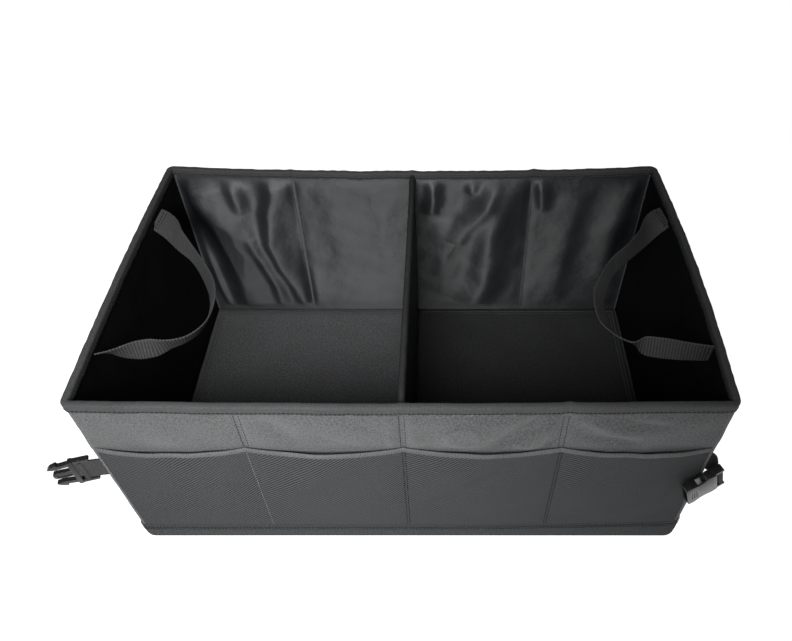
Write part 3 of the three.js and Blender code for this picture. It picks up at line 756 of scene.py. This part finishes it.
def lining(wall, spans, rows, relief, look=LINING_CLOTH):
    at, normal = stations(wall, spans)
    place = at[:, 0] if wall in ("front", "back") else at[:, 1]
    up = np.linspace(0, 1, rows)
    z = WALL_BASE + (rim_height(at)[:, None] - LINING_TOP_DROP - WALL_BASE) * up
    hem = rim_height(at)[:, None] - RIM_INNER_HEM
    hang = np.clip(relief(place[:, None] + 0 * z, z), 0, None) * ramp(hem - z, -0.5, 6)
    face = wall_points(at, normal, WALL + hang, z)
    back = wall_points(at, normal, LINING_OUT + hang, z)
    piece = skin(f"{wall}_lining_cloth", face[:, ::-1], back[:, ::-1], look)
    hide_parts(f"{wall}_lining")


def back_lining_stitching():
    rows = []
    height = np.linspace(8, BODY_HEIGHT - BACK_SAG - RIM_INNER_HEM - 4, 60)
    for seam in (-QUARTER, QUARTER):
        for off in LINING_STITCHES:
            x = lean(seam, height) + off
            path = np.stack([x, HALF_D - WALL - back_folds(x, height) - 0.05, height], -1)
            rows.append(facing(path, (0, -1, 0)))
    stitched("back_lining_stitching", rows, look=DARK_THREAD)


# Tape over the rim, folded from the hem outside to the hem inside.
rim_wave = noise_field(21, 60)
rim_small = noise_field(22, 14)


def rim_tape():
    at, normal = ring({"left": 130, "front": 240, "right": 130, "back": 240})
    x, y = at[:, 0], at[:, 1]
    flat = (0, 0.15, 0.35, 0.6, 0.8, 0.92, 1)
    out, inn, bend = -(SEAT + TAPE), HEM_IN, 1.5
    outer_path = [(out, -RIM_HEM + (RIM_HEM - bend) * t) for t in flat]
    outer_path += [(out + 0.45, -0.45), (out + bend, 0), ((out + inn) / 2, 0.15), (inn - bend, 0),
                   (inn - 0.45, -0.45)]
    outer_path += [(inn, -bend - (RIM_INNER_HEM - bend) * t) for t in flat]
    outer_path = np.array(outer_path)
    middle = (out + inn) / 2
    toward = np.sign(middle - outer_path[:, 0]) * (np.abs(outer_path[:, 0] - middle) > 0.5)
    down = (outer_path[:, 1] > -1.4) * 1.0
    inner_path = outer_path + np.stack([toward * TAPE * (1 - 0.3 * down), -TAPE * down], -1)
    wave = rim_wave(x + 0.6 * y, y)[:, None]
    small = rim_small(x + 0.6 * y, y)[:, None]
    calmer = np.where(np.abs(y) > END_LIMIT, 1, 0.4)[:, None]
    lift = (0.35 * wave + 0.12 * small) * calmer
    for seam, side, height in ((QUARTER, -1, 1.6), (0, -1, 0.9), (-QUARTER, 1, 0.8), (0, 1, 1.2),
                               (QUARTER, 1, 1.2)):
        near = bell(x - seam, 4) * (np.sign(y) == side) * (np.abs(y) > END_LIMIT)
        lift = lift + height * near[:, None]
    grids = []
    for path in (outer_path, inner_path):
        inset = path[None, :, 0] - 0.16 * small * (path[None, :, 0] < 0)
        hem = (path[None, :, 1] < -6) * (0.5 * small + 0.4 * wave) * calmer
        z = rim_height(at)[:, None] + path[None, :, 1] + lift + hem
        grids.append(wall_points(at, normal, inset, z))
    piece = skin("rim_tape", grids[0], grids[1], TAPE_CLOTH)
    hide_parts("rim_binding")
    rows = []
    for inset, depth, outward in ((out - 0.02, RIM_HEM, 1), (inn + 0.02, RIM_INNER_HEM, -1)):
        z = rim_height(at)[:, None] + lift - depth + 2 + np.array([[-1, 0, 1]])
        shift = inset - 0.16 * small * (inset < 0)
        rows.append(row_on(wall_points(at, normal, shift, z), outward))
    stitched("rim_stitching", rows, radius=0.42, look=DARK_THREAD)


# Band round the foot, where the walls and the pockets are sewn in.
def foot_band():
    at, normal = ring({"left": 60, "front": 220, "right": 60, "back": 110})
    up = np.array([0, 0.04, 0.12, 0.3, 0.5, 0.7, 0.86, 0.95, 1])
    top = foot_top(at)[:, None]
    z = FOOT_LIFT + (top - FOOT_LIFT) * up
    puff = 0.5 * np.sin(math.pi * up) + 0.25 * noise_field(31, 40)(at[:, :1] + at[:, 1:], z)
    puff = np.clip(puff, 0, 1.5) * np.sin(math.pi * np.clip(up, 0.02, 0.98))
    sewn = 0.35 * bell(z - (top - 5), 1.2)
    z = z + rounded_foot(at, z)
    outer = wall_points(at, normal, -(SEAT + TAPE) - puff + sewn, z)
    inner = wall_points(at, normal, -SEAT - puff * 0.8 + sewn * 0.5, z)
    piece = skin("foot_cloth", outer, inner, FOOT_OXFORD)
    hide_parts("foot_band")
    rows = []
    for drop in (4, 7.5):
        height = top - drop + np.array([[-1, 0, 1]])
        height = height + rounded_foot(at, height)
        rows.append(row_on(wall_points(at, normal, -(SEAT + TAPE) - 0.5, height)))
    stitched("foot_stitching", rows, length=3.2, gap=0.5, radius=0.3, look=DARK_THREAD)


# Pockets: net sewn down at the seams and at the foot, and an elastic hem along its top edge.
POCKET_EDGES = (-STRAIGHT_X, *SEAMS, STRAIGHT_X)
NET_FOLDS = (
    (1.4, 16, ((24, 150), (46, 124), (60, 108))),
    (-2.4, 9, ((104, 152), (66, 112), (22, 66))),
    (1.4, 12, ((118, 140), (92, 100), (60, 66))),
    (1.7, 13, ((152, 152), (160, 116), (150, 70))),
    (-1.3, 12, ((196, 150), (184, 112), (190, 70))),
    (1.0, 14, ((236, 140), (226, 96), (214, 60))),
    (-1.2, 9, ((-30, 150), (-62, 112), (-100, 70))),
    (1.2, 12, ((-66, 152), (-96, 112), (-122, 80))),
    (1.4, 12, ((-152, 150), (-166, 110), (-176, 70))),
    (-1.2, 12, ((-196, 146), (-206, 106), (-216, 70))),
)
net_swell = noise_field(41, 55)
hem_wave = noise_field(42, 30)


def pocket_wave(x):
    """0 at the seams beside a pocket and 1 in its middle."""
    edges = np.array(POCKET_EDGES)
    q = np.clip(np.searchsorted(edges, x, side="right") - 1, 0, 3)
    across = (x - edges[q]) / (edges[q + 1] - edges[q])
    return np.clip(np.sin(math.pi * across), 0, None) ** 0.8


def pocket_face(x, z, foot, outward):
    """Points of the pockets' outer side, and a depth outward of it."""
    wave = pocket_wave(x)
    up = np.clip((z - foot) / (POCKET_TOP - foot), 0, 1)
    bulge = POCKET_BULGE * wave * np.sin(math.pi / 2 * up)
    loose = np.clip(wave * 1.6, 0, 1) * ramp(up, 0, 0.15)
    ripple = 0.4 * net_swell(x, z)
    for piece in NET_FOLDS:
        ripple = ripple + fold(x, z, *piece)
    out = np.clip(bulge + loose * ripple, 0, None) + outward
    return np.stack([x, -HALF_D - SEAT - out, z], -1)


def pocket_columns(spans):
    """Places along the front wall, with that many spans in each pocket."""
    return np.unique(np.concatenate([np.linspace(a, b, spans + 1)
                                     for a, b in zip(POCKET_EDGES, POCKET_EDGES[1:])]))


def pocket_top(x):
    """Height of the pockets' top edge, which sags between the seams."""
    return POCKET_TOP - POCKET_SAG * pocket_wave(x) + 0.5 * hem_wave(x, 0 * x) * pocket_wave(x)


def pocket_foot(x):
    """Where the net leaves the foot band, for columns at x."""
    return foot_top(np.stack([x, 0 * x - HALF_D], -1))[:, None] + SEAT


def pocket_net():
    x = pocket_columns(60)
    foot = pocket_foot(x)
    up = np.linspace(0, 1, 60)[None, :]
    z = foot + (pocket_top(x)[:, None] - POCKET_HEM + 1 - foot) * up
    grid = x[:, None] + 0 * z
    outer, inner = (pocket_face(grid, z, foot, thick) for thick in (MESH, 0))
    piece = skin("pocket_net", outer, inner, NET)
    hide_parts("pocket_mesh")


def pocket_elastic():
    """The hem's rounded section, from its lower edge up, rippled by the stretch in it."""
    x = pocket_columns(180)
    up = np.array([[0, 0.08, 0.3, 0.6, 0.9, 1]])
    thick = np.array([[0.7, 1.3, 1.6, 1.7, 1.5, 0.9]])
    ripple = 1 + 0.07 * np.sin(2 * math.pi * x / 3.1)[:, None]
    z = pocket_top(x)[:, None] - POCKET_HEM * (1 - up)
    grid = x[:, None] + 0 * z
    outer, inner = (pocket_face(grid, z, pocket_foot(x), out) for out in (thick * ripple, -0.1))
    piece = skin("pocket_elastic", outer, inner, ELASTIC)
    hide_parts("pocket_binding")


def pocket_stitching():
    height = np.linspace(FOOT_BAND + 4, POCKET_TOP - POCKET_HEM - 1, 40)
    for side, seam, offs, look in (
        ("left", -QUARTER, (0,), THREAD),
        ("middle", 0, POCKET_STITCHES, DARK_THREAD),
        ("right", QUARTER, POCKET_STITCHES, DARK_THREAD),
    ):
        paths = [pocket_face(seam + off + 0 * height, height, FOOT_BAND, MESH) for off in offs]
        rows = [facing(path, (0, -1, 0)) for path in paths]
        stitched(f"{side}_pocket_stitching", rows, 3.1, 1.1, 0.4, look)


# Divider: a cloth sleeve over two boards, with tape on its top edge.
divider_wave = noise_field(51, 75)
divider_small = noise_field(52, 18)


def divider_sleeve():
    y = np.linspace(-DIVIDER_END, DIVIDER_END, 130)[:, None]
    top = DIVIDER_TOP - 1.2
    rise = np.linspace(WALL_BASE, top - 1.6, 40)
    z = np.concatenate([rise, [top - 0.4, top, top, top - 0.4], rise[::-1]])[None, :]
    one = np.ones(len(rise))
    flank = np.concatenate([-one, [-0.75, -0.3, 0.3, 0.75], one])[None, :]
    swell = np.sin(math.pi * np.clip(z / top, 0, 1)) ** 0.7 * np.cos(math.pi * y / 324) ** 0.5
    swell = np.clip(1.6 * swell * (1 + 0.35 * divider_wave(y * np.sign(flank), z)), 0, 3.2)
    ends = ramp(DIVIDER_END - np.abs(y), 0, 10)
    x = flank * SLEEVE_HALF + np.sign(flank) * swell * ends * (np.abs(flank) > 0.9)
    z = z + 0.5 * divider_wave(y, 0 * y) * (z > top - 3)
    outer = np.stack([x, y + 0 * z, z + 0 * x], -1)
    inner = outer.copy()
    inner[..., 0] -= np.sign(flank) * LINING
    inner[..., 2] -= np.where(np.abs(flank) < 0.9, LINING, 0) + 0 * inner[..., 2]
    piece = skin("divider_sleeve", outer, inner, DARK_LINING)
    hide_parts("divider_cover")


def divider_tape():
    y = np.linspace(-DIVIDER_END, DIVIDER_END, 200)[:, None]
    half = SLEEVE_HALF + SEAT + TAPE
    fade = ramp(DIVIDER_END - np.abs(y), 0, 18)
    sway = 0.45 * divider_wave(y, 0 * y) + 0.1 * divider_small(y, 0 * y)
    sway = sway * fade
    lift = 0.42 * divider_wave(y + 400, 0 * y) + 0.175 * divider_small(y + 300, 0 * y)
    top = DIVIDER_TOP - 0.4 + lift * fade
    rounding = ((0, -DIVIDER_HEM), (0, -5), (0.2, -2.6), (0.7, -1.4), (1.7, -0.3))
    path = [(inward - half, z) for inward, z in rounding]
    path = [*path, (0, 0.1), *((-x, z) for x, z in reversed(path))]
    path = np.array(path)[None, :, :]
    x = path[..., 0] + sway
    z = top + path[..., 1]
    outer = np.stack([x, y + 0 * x, z], -1)
    inner = outer.copy()
    inner[..., 0] -= np.sign(path[..., 0]) * TAPE * (np.abs(path[..., 0]) > 1.6)
    inner[..., 2] -= TAPE * (path[..., 1] > -1.5)
    piece = skin("divider_tape", outer, inner, DIVIDER_TAPE_PAINTED_SHADE)
    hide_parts("divider_binding")
    rows = []
    for sign in (-1, 1):
        line = np.concatenate([sign * (half + 0.05) + sway, y, top - DIVIDER_HEM + 1.8], 1)
        rows.append(facing(line, (sign, 0, 0)))
    stitched("divider_stitching", rows, look=DARK_THREAD)


# Floor: a cloth cover round each loose board, open at the divider, with a stitched border.
def floor_cover(side, sign):
    waves = noise_field(61 + sign, 80)
    fine = noise_field(63 + sign, 28)

    def puff(x, y):
        edge = ramp(FLOOR_DEEP - np.abs(y), 0, 14) * ramp(FLOOR_FAR - x, 0, 14)
        return (0.7 + 0.55 * waves(x, y) + 0.2 * fine(x, y)) * edge

    x = np.concatenate([np.linspace(FLOOR_NEAR, FLOOR_FAR - 1.2, 60), [FLOOR_FAR - 0.5, FLOOR_FAR]])
    low, high = WALL_BASE, FLOOR_TOP
    flat = FLOOR_DEEP - 0.9
    bend = [(FLOOR_DEEP - 0.2, high - 0.7), (FLOOR_DEEP, 3.2), (FLOOR_DEEP - 0.2, low + 0.7)]
    loop = [(y, high) for y in np.linspace(-flat, flat, 76)] + bend
    loop += [(y, low) for y in np.linspace(flat, -flat, 30)]
    loop += [(-y, z) for y, z in reversed(bend)]
    loop = np.array(loop + loop[:1])
    y = loop[None, :, 0] + 0 * x[:, None]
    shrink = np.concatenate([np.ones(60), [0.82, 0.35]])[:, None]
    middle = (low + high) / 2
    z = middle + (loop[None, :, 1] - middle) * shrink
    wide = x[:, None] + 0 * y
    sewn = 0.5 * bell(np.minimum(FLOOR_DEEP - np.abs(y), FLOOR_FAR - wide) - 6, 1.6)
    rise = puff(wide, y) - sewn
    on_top = loop[None, :, 1] > high - 0.1
    outer = np.stack([sign * wide, y, np.where(on_top, z + np.clip(rise, -0.55, 2), z)], -1)
    inner = outer.copy()
    inner[..., 1] -= np.sign(y) * LINING * (np.abs(y) > FLOOR_DEEP - 1)
    inner[..., 2] -= np.sign(z - middle) * LINING * (np.abs(z - middle) > 1)
    if sign < 0:
        outer, inner = outer[::-1], inner[::-1]
    # The right cover gets the darker oxford, which is painted shade.
    piece = skin(f"{side}_floor_cloth", outer, inner, FLOOR_CLOTH[side])
    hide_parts(f"floor_cover_{side}")
    rows = []
    for off in (4.6, 8.6):
        near, far, deep = FLOOR_NEAR + 3, FLOOR_FAR - off, FLOOR_DEEP - off
        corners = ((near, deep), (far, deep), (far, -deep), (near, -deep))
        for (x0, y0), (x1, y1) in zip(corners, corners[1:]):
            t = np.linspace(0, 1, 60)
            px, py = x0 + (x1 - x0) * t, y0 + (y1 - y0) * t
            lift = np.clip(puff(px, py) - 0.2, -0.4, 2)
            rows.append(facing(np.stack([sign * px, py, FLOOR_TOP + lift], -1), (0, 0, 1)))
    look = THREAD if side == "right" else DARK_THREAD
    stitched(f"{side}_floor_stitching", rows, look=look)


# Webbing: a strap with woven ribs across it, along a path of centres with its two directions.
def strap(name, centre, face, width, look=STRAP, wide=HANDLE_WIDTH, thick=WEBBING):
    """Face is the strap's outer direction at each place, and width the one across it."""
    run = lengths(centre)
    count = int(run[-1] / RIB * 6)
    at = np.linspace(0, run[-1], count)
    centre, face, width = (sampled(rows, run, at) for rows in (centre, face, width))
    across = np.array([-0.5, -0.485, -0.44, -0.3, -0.1, 0.1, 0.3, 0.44, 0.485, 0.5])
    edge = np.array([0.35, 0.8, 1, 0.92, 0.97, 0.97, 0.92, 1, 0.8, 0.35])[None, :, None]
    ribs = (1 + 0.16 * np.sin(2 * math.pi * at / RIB))[:, None, None]
    middle = centre[:, None] + width[:, None] * (across * wide)[None, :, None]
    off = face[:, None] * edge * ribs * thick / 2
    return skin(name, middle + off, middle - off, look)


def smooth_path(points, samples):
    """Smooth curve through points, and where each sample is among them."""
    points = np.asarray(points, float)
    ends = [2 * points[0] - points[1], *points, 2 * points[-1] - points[-2]]
    t = np.linspace(0, len(points) - 1, samples)
    path = []
    for value in t:
        i = min(int(value), len(points) - 2)
        p = ends[i : i + 4]
        knots = np.concatenate([[0], np.cumsum([np.linalg.norm(b - a) ** 0.5 + 1e-9
                                               for a, b in zip(p, p[1:])])])
        s = knots[1] + (knots[2] - knots[1]) * (value - i)
        for spans in (((0, 1), (1, 2), (2, 3)), ((0, 2), (1, 3)), ((1, 2),)):
            p = [a + (b - a) * (s - knots[j]) / (knots[k] - knots[j])
                 for (j, k), a, b in zip(spans, p, p[1:])]
        path.append(p[0])
    return np.array(path), t


# Reach from the end wall, place along it, drop below the rim, and how far the face is turned up.
HANDLE_ROUTE = {
    "left": (
        (0.7, 87, 13, -60), (8, 84, 15, -56), (18, 76, 17, -48), (31, 60, 19, -25),
        (48, 41, 20, -8), (66, 15, 20, -12), (79, -8, 20, -20), (85, -27, 20, -24),
        (86, -48, 20, -28), (82, -64, 20, -33), (71, -77, 20, -34), (57, -83, 20, -26),
        (45, -87, 20, -2), (33, -91, 18.5, 0), (19, -95, 17, -20), (8, -97, 15, -40),
        (0.7, -98, 14.5, -46),
    ),
    "right": (
        (0.7, 89, 12, -70), (7, 87, 14, -64), (17, 79, 17, -46), (31, 61, 19, -16),
        (50, 40, 20, -5), (70, 17, 20, -12), (84, -10, 20, -22), (89, -26, 20, -32),
        (89, -48, 20, -42), (86, -62, 20, -42), (75, -76, 20, -42), (64, -82, 20, -42),
        (56, -85, 19.5, 2), (40, -90, 17.5, 6), (22, -95, 15.5, -2), (8, -98, 14, -8),
        (0.7, -99, 13.5, -10),
    ),
}


def handle(side, sign):
    inner = HALF_W - WALL - SEAT - WEBBING / 2
    points = []
    route = HANDLE_ROUTE[side]
    for reach, along, drop, _ in route:
        height = BODY_HEIGHT - drop
        wall = inner + float(bow(sign * HALF_W, along, height))
        points.append((sign * (wall - reach), along, height))
    centre, t = smooth_path(points, 260)
    tilt = np.radians(np.interp(t, range(len(route)), [r[3] for r in route]))
    tilt = np.convolve(np.pad(tilt, 6, mode="edge"), np.ones(13) / 13, mode="valid")
    along = np.gradient(centre, axis=0)
    along /= np.linalg.norm(along, axis=1)[:, None]
    level = np.cross([0.0, 0, 1], along) * -sign
    level /= np.linalg.norm(level, axis=1)[:, None]
    upright = np.cross(along, level)
    upright *= np.sign(upright[:, 2:])
    face = level * np.cos(tilt)[:, None] + upright * np.sin(tilt)[:, None]
    width = np.cross(along, face)
    piece = strap(f"{side}_strap", centre, face, width)
    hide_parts(f"{side}_handle")
    rows = []
    for place in (8, 14, 245, 251):
        line = centre[place] + width[place] * np.linspace(-10, 10, 12)[:, None]
        for way in (1, -1):
            off = way * face[place] * (WEBBING / 2 + 0.05)
            rows.append(facing(line + off, way * face[place]))
    stitched(f"{side}_strap_stitching", rows, 2.4, 0.5, 0.42, DARK_THREAD)


# Buckle. Each half is drawn with its bar on its own Z axis and points along its own +X.
BUCKLE_WIDTH = 34
RAIL_WIDTH = 3.5
SHOULDER = 5
BAR_RADIUS = 1.7
BAR_CLEARANCE = 0.4
MALE_RAIL_BACK = 9
MALE_BODY_END = 9.5
MALE_THICKNESS = 6.5
PRONG_END = 28
PRONG_THICKNESS = 4.6
TONGUE_WIDTH = 8.5
FEMALE_RAIL_BACK = 3.4
FEMALE_END = 36
FEMALE_THICKNESS = 8.6
FEMALE_WALL = 1.4
SOCKET_DEPTH = 24
WINDOW_START = 14
WINDOW_END = 24
GRIP_RIBS = (26, 28.4, 30.8)
WAIST = 2.2
BUCKLE_HEIGHT = 123.5
# Bar, angle in plan, droop, and where along the end wall the tab is sewn, from the bar.
BUCKLES = {
    "male": (-HALF_W - 21, -HALF_D + 5, 195, 0, 3),
    "female": (HALF_W + 12, -HALF_D - 1.5, 203, 20, 17.5),
}


def extruded(loop, travel, soften=0):
    """A solid that a flat loop of points sweeps along travel, with its edges rounded off."""
    made = bmesh.new()
    face = made.faces.new([made.verts.new(point) for point in loop])
    grown = bmesh.ops.extrude_face_region(made, geom=[face])["geom"]
    moved = [v for v in grown if isinstance(v, bmesh.types.BMVert)]
    bmesh.ops.translate(made, verts=moved, vec=travel)
    bmesh.ops.recalc_face_normals(made, faces=made.faces)
    if soften:
        bmesh.ops.bevel(made, geom=list(made.edges), offset=soften, segments=3, profile=0.5,
                        affect="EDGES", clamp_overlap=True)
    mesh = bpy.data.meshes.new("moulding")
    made.to_mesh(mesh)
    made.free()
    return placed("moulding", mesh)


def moulding(outline, thickness, soften, shift=0.0):
    """A rounded solid from an outline in the buckle's own XZ plane."""
    loop = [(x, shift - thickness / 2, z) for x, z in outline]
    return extruded(loop, (0, thickness, 0), soften)


def rounded(points, radius, steps=4):
    """An outline with each corner turned into an arc."""
    result = []
    count = len(points)
    for i, point in enumerate(points):
        p = np.array(point, float)
        before = np.array(points[i - 1], float) - p
        after = np.array(points[(i + 1) % count], float) - p
        cut = min(radius, np.linalg.norm(before) * 0.45, np.linalg.norm(after) * 0.45)
        a = p + before / np.linalg.norm(before) * cut
        b = p + after / np.linalg.norm(after) * cut
        for k in range(steps + 1):
            t = k / steps
            result.append(tuple((1 - t) ** 2 * a + 2 * t * (1 - t) * p + t * t * b))
    return result


def mirrored(points):
    return [(x, -z) for x, z in reversed(points)]


def rectangle(x0, x1, z0, z1):
    return [(x0, z0), (x1, z0), (x1, z1), (x0, z1)]


def combine(base, others, operation):
    """Adds the other solids to a base, or cuts them from it."""
    for other in others:
        change = base.modifiers.new("boolean", "BOOLEAN")
        change.object = other
        change.operation = operation
        change.solver = "EXACT"
        with bpy.context.temp_override(object=base, active_object=base):
            bpy.ops.object.modifier_apply(modifier=change.name)
        mesh = other.data
        bpy.data.objects.remove(other)
        bpy.data.meshes.remove(mesh)
    return base


def round_bar():
    sides = 20
    reach = (BUCKLE_WIDTH - RAIL_WIDTH) / 2
    turns = [2 * math.pi * k / sides for k in range(sides)]
    loop = [(BAR_RADIUS * math.cos(a), BAR_RADIUS * math.sin(a), -reach) for a in turns]
    return extruded(loop, (0, 0, 2 * reach))


def rails(back, thickness):
    """The two side rails that hold a half's bar."""
    edge = BUCKLE_WIDTH / 2
    rail = rounded(rectangle(-back, SHOULDER + 2, edge - RAIL_WIDTH, edge), 1.6)
    return [moulding(rail, thickness, 0.9), moulding(mirrored(rail), thickness, 0.9)]


def male_solid():
    edge = BUCKLE_WIDTH / 2
    body = rounded(rectangle(SHOULDER, MALE_BODY_END, -edge, edge), 1.6)
    body = moulding(body, MALE_THICKNESS, 0.9)
    prong = [
        (MALE_BODY_END - 2, edge - 5.8),
        (PRONG_END - 12, edge - 6.6),
        (PRONG_END - 6, edge - 7.2),
        (PRONG_END, edge - 5.6),
        (PRONG_END - 3, edge - 2.6),
        (PRONG_END - 9, edge),
        (PRONG_END - 9.8, edge - 2.8),
        (MALE_BODY_END - 2, edge - 1.4),
    ]
    prong = rounded(prong, 1.0, 3)
    half = TONGUE_WIDTH / 2
    tongue = rounded(rectangle(MALE_BODY_END - 2, PRONG_END - 1.5, -half, half), 3.6)
    arms = [moulding(points, PRONG_THICKNESS, 0.7) for points in (prong, mirrored(prong), tongue)]
    groove = rounded(rectangle(MALE_BODY_END + 1, PRONG_END - 5, -half + 1.8, half - 1.8), 1)
    groove = moulding(groove, 1.4, 0, PRONG_THICKNESS / 2)
    sides = rails(MALE_RAIL_BACK, MALE_THICKNESS * 0.8)
    return combine(combine(body, [*sides, round_bar(), *arms], "UNION"), [groove], "DIFFERENCE")


def female_solid():
    edge = BUCKLE_WIDTH / 2
    middle = (SHOULDER + FEMALE_END) / 2
    flank = [
        (FEMALE_END, edge - 0.8),
        (middle + 9, edge),
        (middle + 4, edge - 0.8 * WAIST),
        (middle, edge - WAIST),
        (middle - 4, edge - 0.8 * WAIST),
        (middle - 9, edge),
        (SHOULDER, edge - 1.0),
    ]
    shell = moulding(rounded([*mirrored(flank), *flank], 1.6, 3), FEMALE_THICKNESS, 0.9)
    room = FEMALE_THICKNESS - 2 * FEMALE_WALL
    wide = edge - WAIST - FEMALE_WALL
    socket = rounded(rectangle(FEMALE_END - SOCKET_DEPTH, FEMALE_END + 4, -wide, wide), 1.5)
    window = rectangle(WINDOW_START, WINDOW_END, -edge - 2, edge + 2)
    cuts = [moulding(socket, room, 0.6), moulding(window, room * 0.97, 0.5)]
    for x in GRIP_RIBS:
        for way in (-1, 1):
            rib = rounded(rectangle(x, x + 1, -8, 8), 0.45)
            cuts.append(moulding(rib, 0.9, 0, way * FEMALE_THICKNESS / 2))
    shell = combine(shell, cuts, "DIFFERENCE")
    return combine(shell, [*rails(FEMALE_RAIL_BACK, FEMALE_THICKNESS * 0.8), round_bar()], "UNION")


def buckle(kind, solid):
    x, y, angle, droop, _ = BUCKLES[kind]
    place = Matrix.Translation((x * MM, y * MM, BUCKLE_HEIGHT * MM))
    for degrees, axis in ((angle, "Z"), (droop, "Y")):
        place = place @ Matrix.Rotation(math.radians(degrees), 4, axis)
    solid.data.transform(place @ Matrix.Scale(MM, 4))
    solid.name = solid.data.name = f"{kind}_half_moulding"
    solid.data.materials.clear()
    solid.data.materials.append(PLASTIC)
    solid.data.polygons.foreach_set("material_index", [0] * len(solid.data.polygons))
    solid.data.shade_smooth()
    solid.data.set_sharp_from_angle(angle=math.radians(38))
    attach(solid, f"{kind}_half")
    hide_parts(f"{kind}_buckle")


# Tabs: webbing from the corner seam, round the buckle's bar and back, sewn to itself.
def turned(rows, axis, angles):
    """Vectors turned about an axis, each by its own angle."""
    cos, sin = np.cos(angles)[:, None], np.sin(angles)[:, None]
    along = (rows @ axis)[:, None] * axis
    return rows * cos + np.cross(axis, rows) * sin + along * (1 - cos)


def tab(kind, route):
    """Route is in plan, relative to the bar, from the wall to the bar."""
    x, y, angle, droop, _ = BUCKLES[kind]
    line, _ = smooth_path([(px, py, 0) for px, py in route], 40)
    line = line[:, :2]
    along = np.gradient(line, axis=0)
    along /= np.linalg.norm(along, axis=1)[:, None]
    off = np.stack([-along[:, 1], along[:, 0]], -1) * (WEBBING / 2 + 0.02)
    radius = BAR_RADIUS + BAR_CLEARANCE + WEBBING / 2
    keep = np.linalg.norm(line, axis=1) > radius * 1.25
    out_leg, back_leg = (line + off)[keep], (line - off)[keep]
    a0 = math.atan2(out_leg[-1, 1], out_leg[-1, 0])
    a1 = math.atan2(back_leg[-1, 1], back_leg[-1, 0])
    if a1 > a0:
        a1 -= 2 * math.pi
    turn = np.linspace(a0 - 0.25, a1 + 0.25, 24)
    loop = np.stack([np.cos(turn), np.sin(turn)], -1) * radius
    path = np.concatenate([out_leg, loop, back_leg[::-1]])
    run = lengths(path)
    path = sampled(path, run, np.linspace(0, run[-1], 160))
    soft = np.ones(7) / 7
    for k in (0, 1):
        path[:, k] = np.convolve(np.pad(path[:, k], 3, mode="edge"), soft, mode="valid")
    path = np.pad(path, ((0, 0), (0, 1)))
    travel = np.gradient(path, axis=0)
    travel /= np.linalg.norm(travel, axis=1)[:, None]
    width = np.tile([0.0, 0, 1], (len(path), 1))
    face = np.cross(travel, width)
    heading = math.radians(angle)
    axis = np.array([-math.sin(heading), math.cos(heading), 0])
    away = np.linalg.norm(path, axis=1)
    level_from = 0.7 * math.hypot(*route[0])
    lean_over = math.radians(droop) * (1 - ramp(away, 2 * BAR_RADIUS + WEBBING, level_from))
    centre = turned(path, axis, lean_over) + (x, y, BUCKLE_HEIGHT)
    width, face = (turned(rows, axis, lean_over) for rows in (width, face))
    piece = strap(f"{kind}_tab", centre, face, width, TAB_STRAP, thick=WEBBING * 0.96)
    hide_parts(f"{kind}_webbing")


# Shares of the way from the bar to the seam at the wall, and where the tab passes the bar.
TAB_ROUTES = {
    "male": (((1, 1), (0.6, 0.7), (0.3, 0.3)), (0.5, 0)),
    "female": (((1, 1), (0.6, 0.97), (0.12, 0.56)), (0, 1.2)),
}


def tabs():
    for kind, (shares, end) in TAB_ROUTES.items():
        x, y, _, _, seam = BUCKLES[kind]
        side = math.copysign(1, x)
        reach = abs(x) - HALF_W - SEAT - float(bow(side * HALF_W, y + seam, 135))
        tab(kind, [*((-side * reach * a, seam * b) for a, b in shares), end])


def studio_floor():
    paint = Paint("studio_floor")
    cloud = paint.noise(paint.place(), 400, 2)
    color = paint.mix(cloud, (0.34, 0.34, 0.34), (0.36, 0.36, 0.36))
    look = paint.finish(color, 0.9, Emission_Color=(1, 1, 1, 1), Emission_Strength=0.93)
    mesh = bpy.data.meshes.new("studio_floor")
    corners = [(-4, -4, 0), (4, -4, 0), (4, 4, 0), (-4, 4, 0)]
    mesh.from_pydata(corners, [], [(0, 1, 2, 3)])
    mesh.materials.append(look)
    placed("studio_floor", mesh)


studio_floor()
outer_cloth()
seam_stitching()
bottom_cloth()
lining("front", 90, 30, calm, DARK_LINING)
# The end walls take the near-black copy of the lining, which is painted shade.
lining("left", 60, 34, calm, END_LINING_PAINTED_SHADE)
lining("right", 60, 34, calm, END_LINING_PAINTED_SHADE)
lining("back", 330, 110, back_folds)
back_lining_stitching()
rim_tape()
foot_band()
pocket_net()
pocket_elastic()
pocket_stitching()
divider_sleeve()
divider_tape()
for name, way in (("left", -1), ("right", 1)):
    floor_cover(name, way)
    handle(name, way)
buckle("male", male_solid())
buckle("female", female_solid())
tabs()

for name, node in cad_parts.items():
    if "board" in name:
        node.data.materials.clear()
        node.data.materials.append(BOARD)
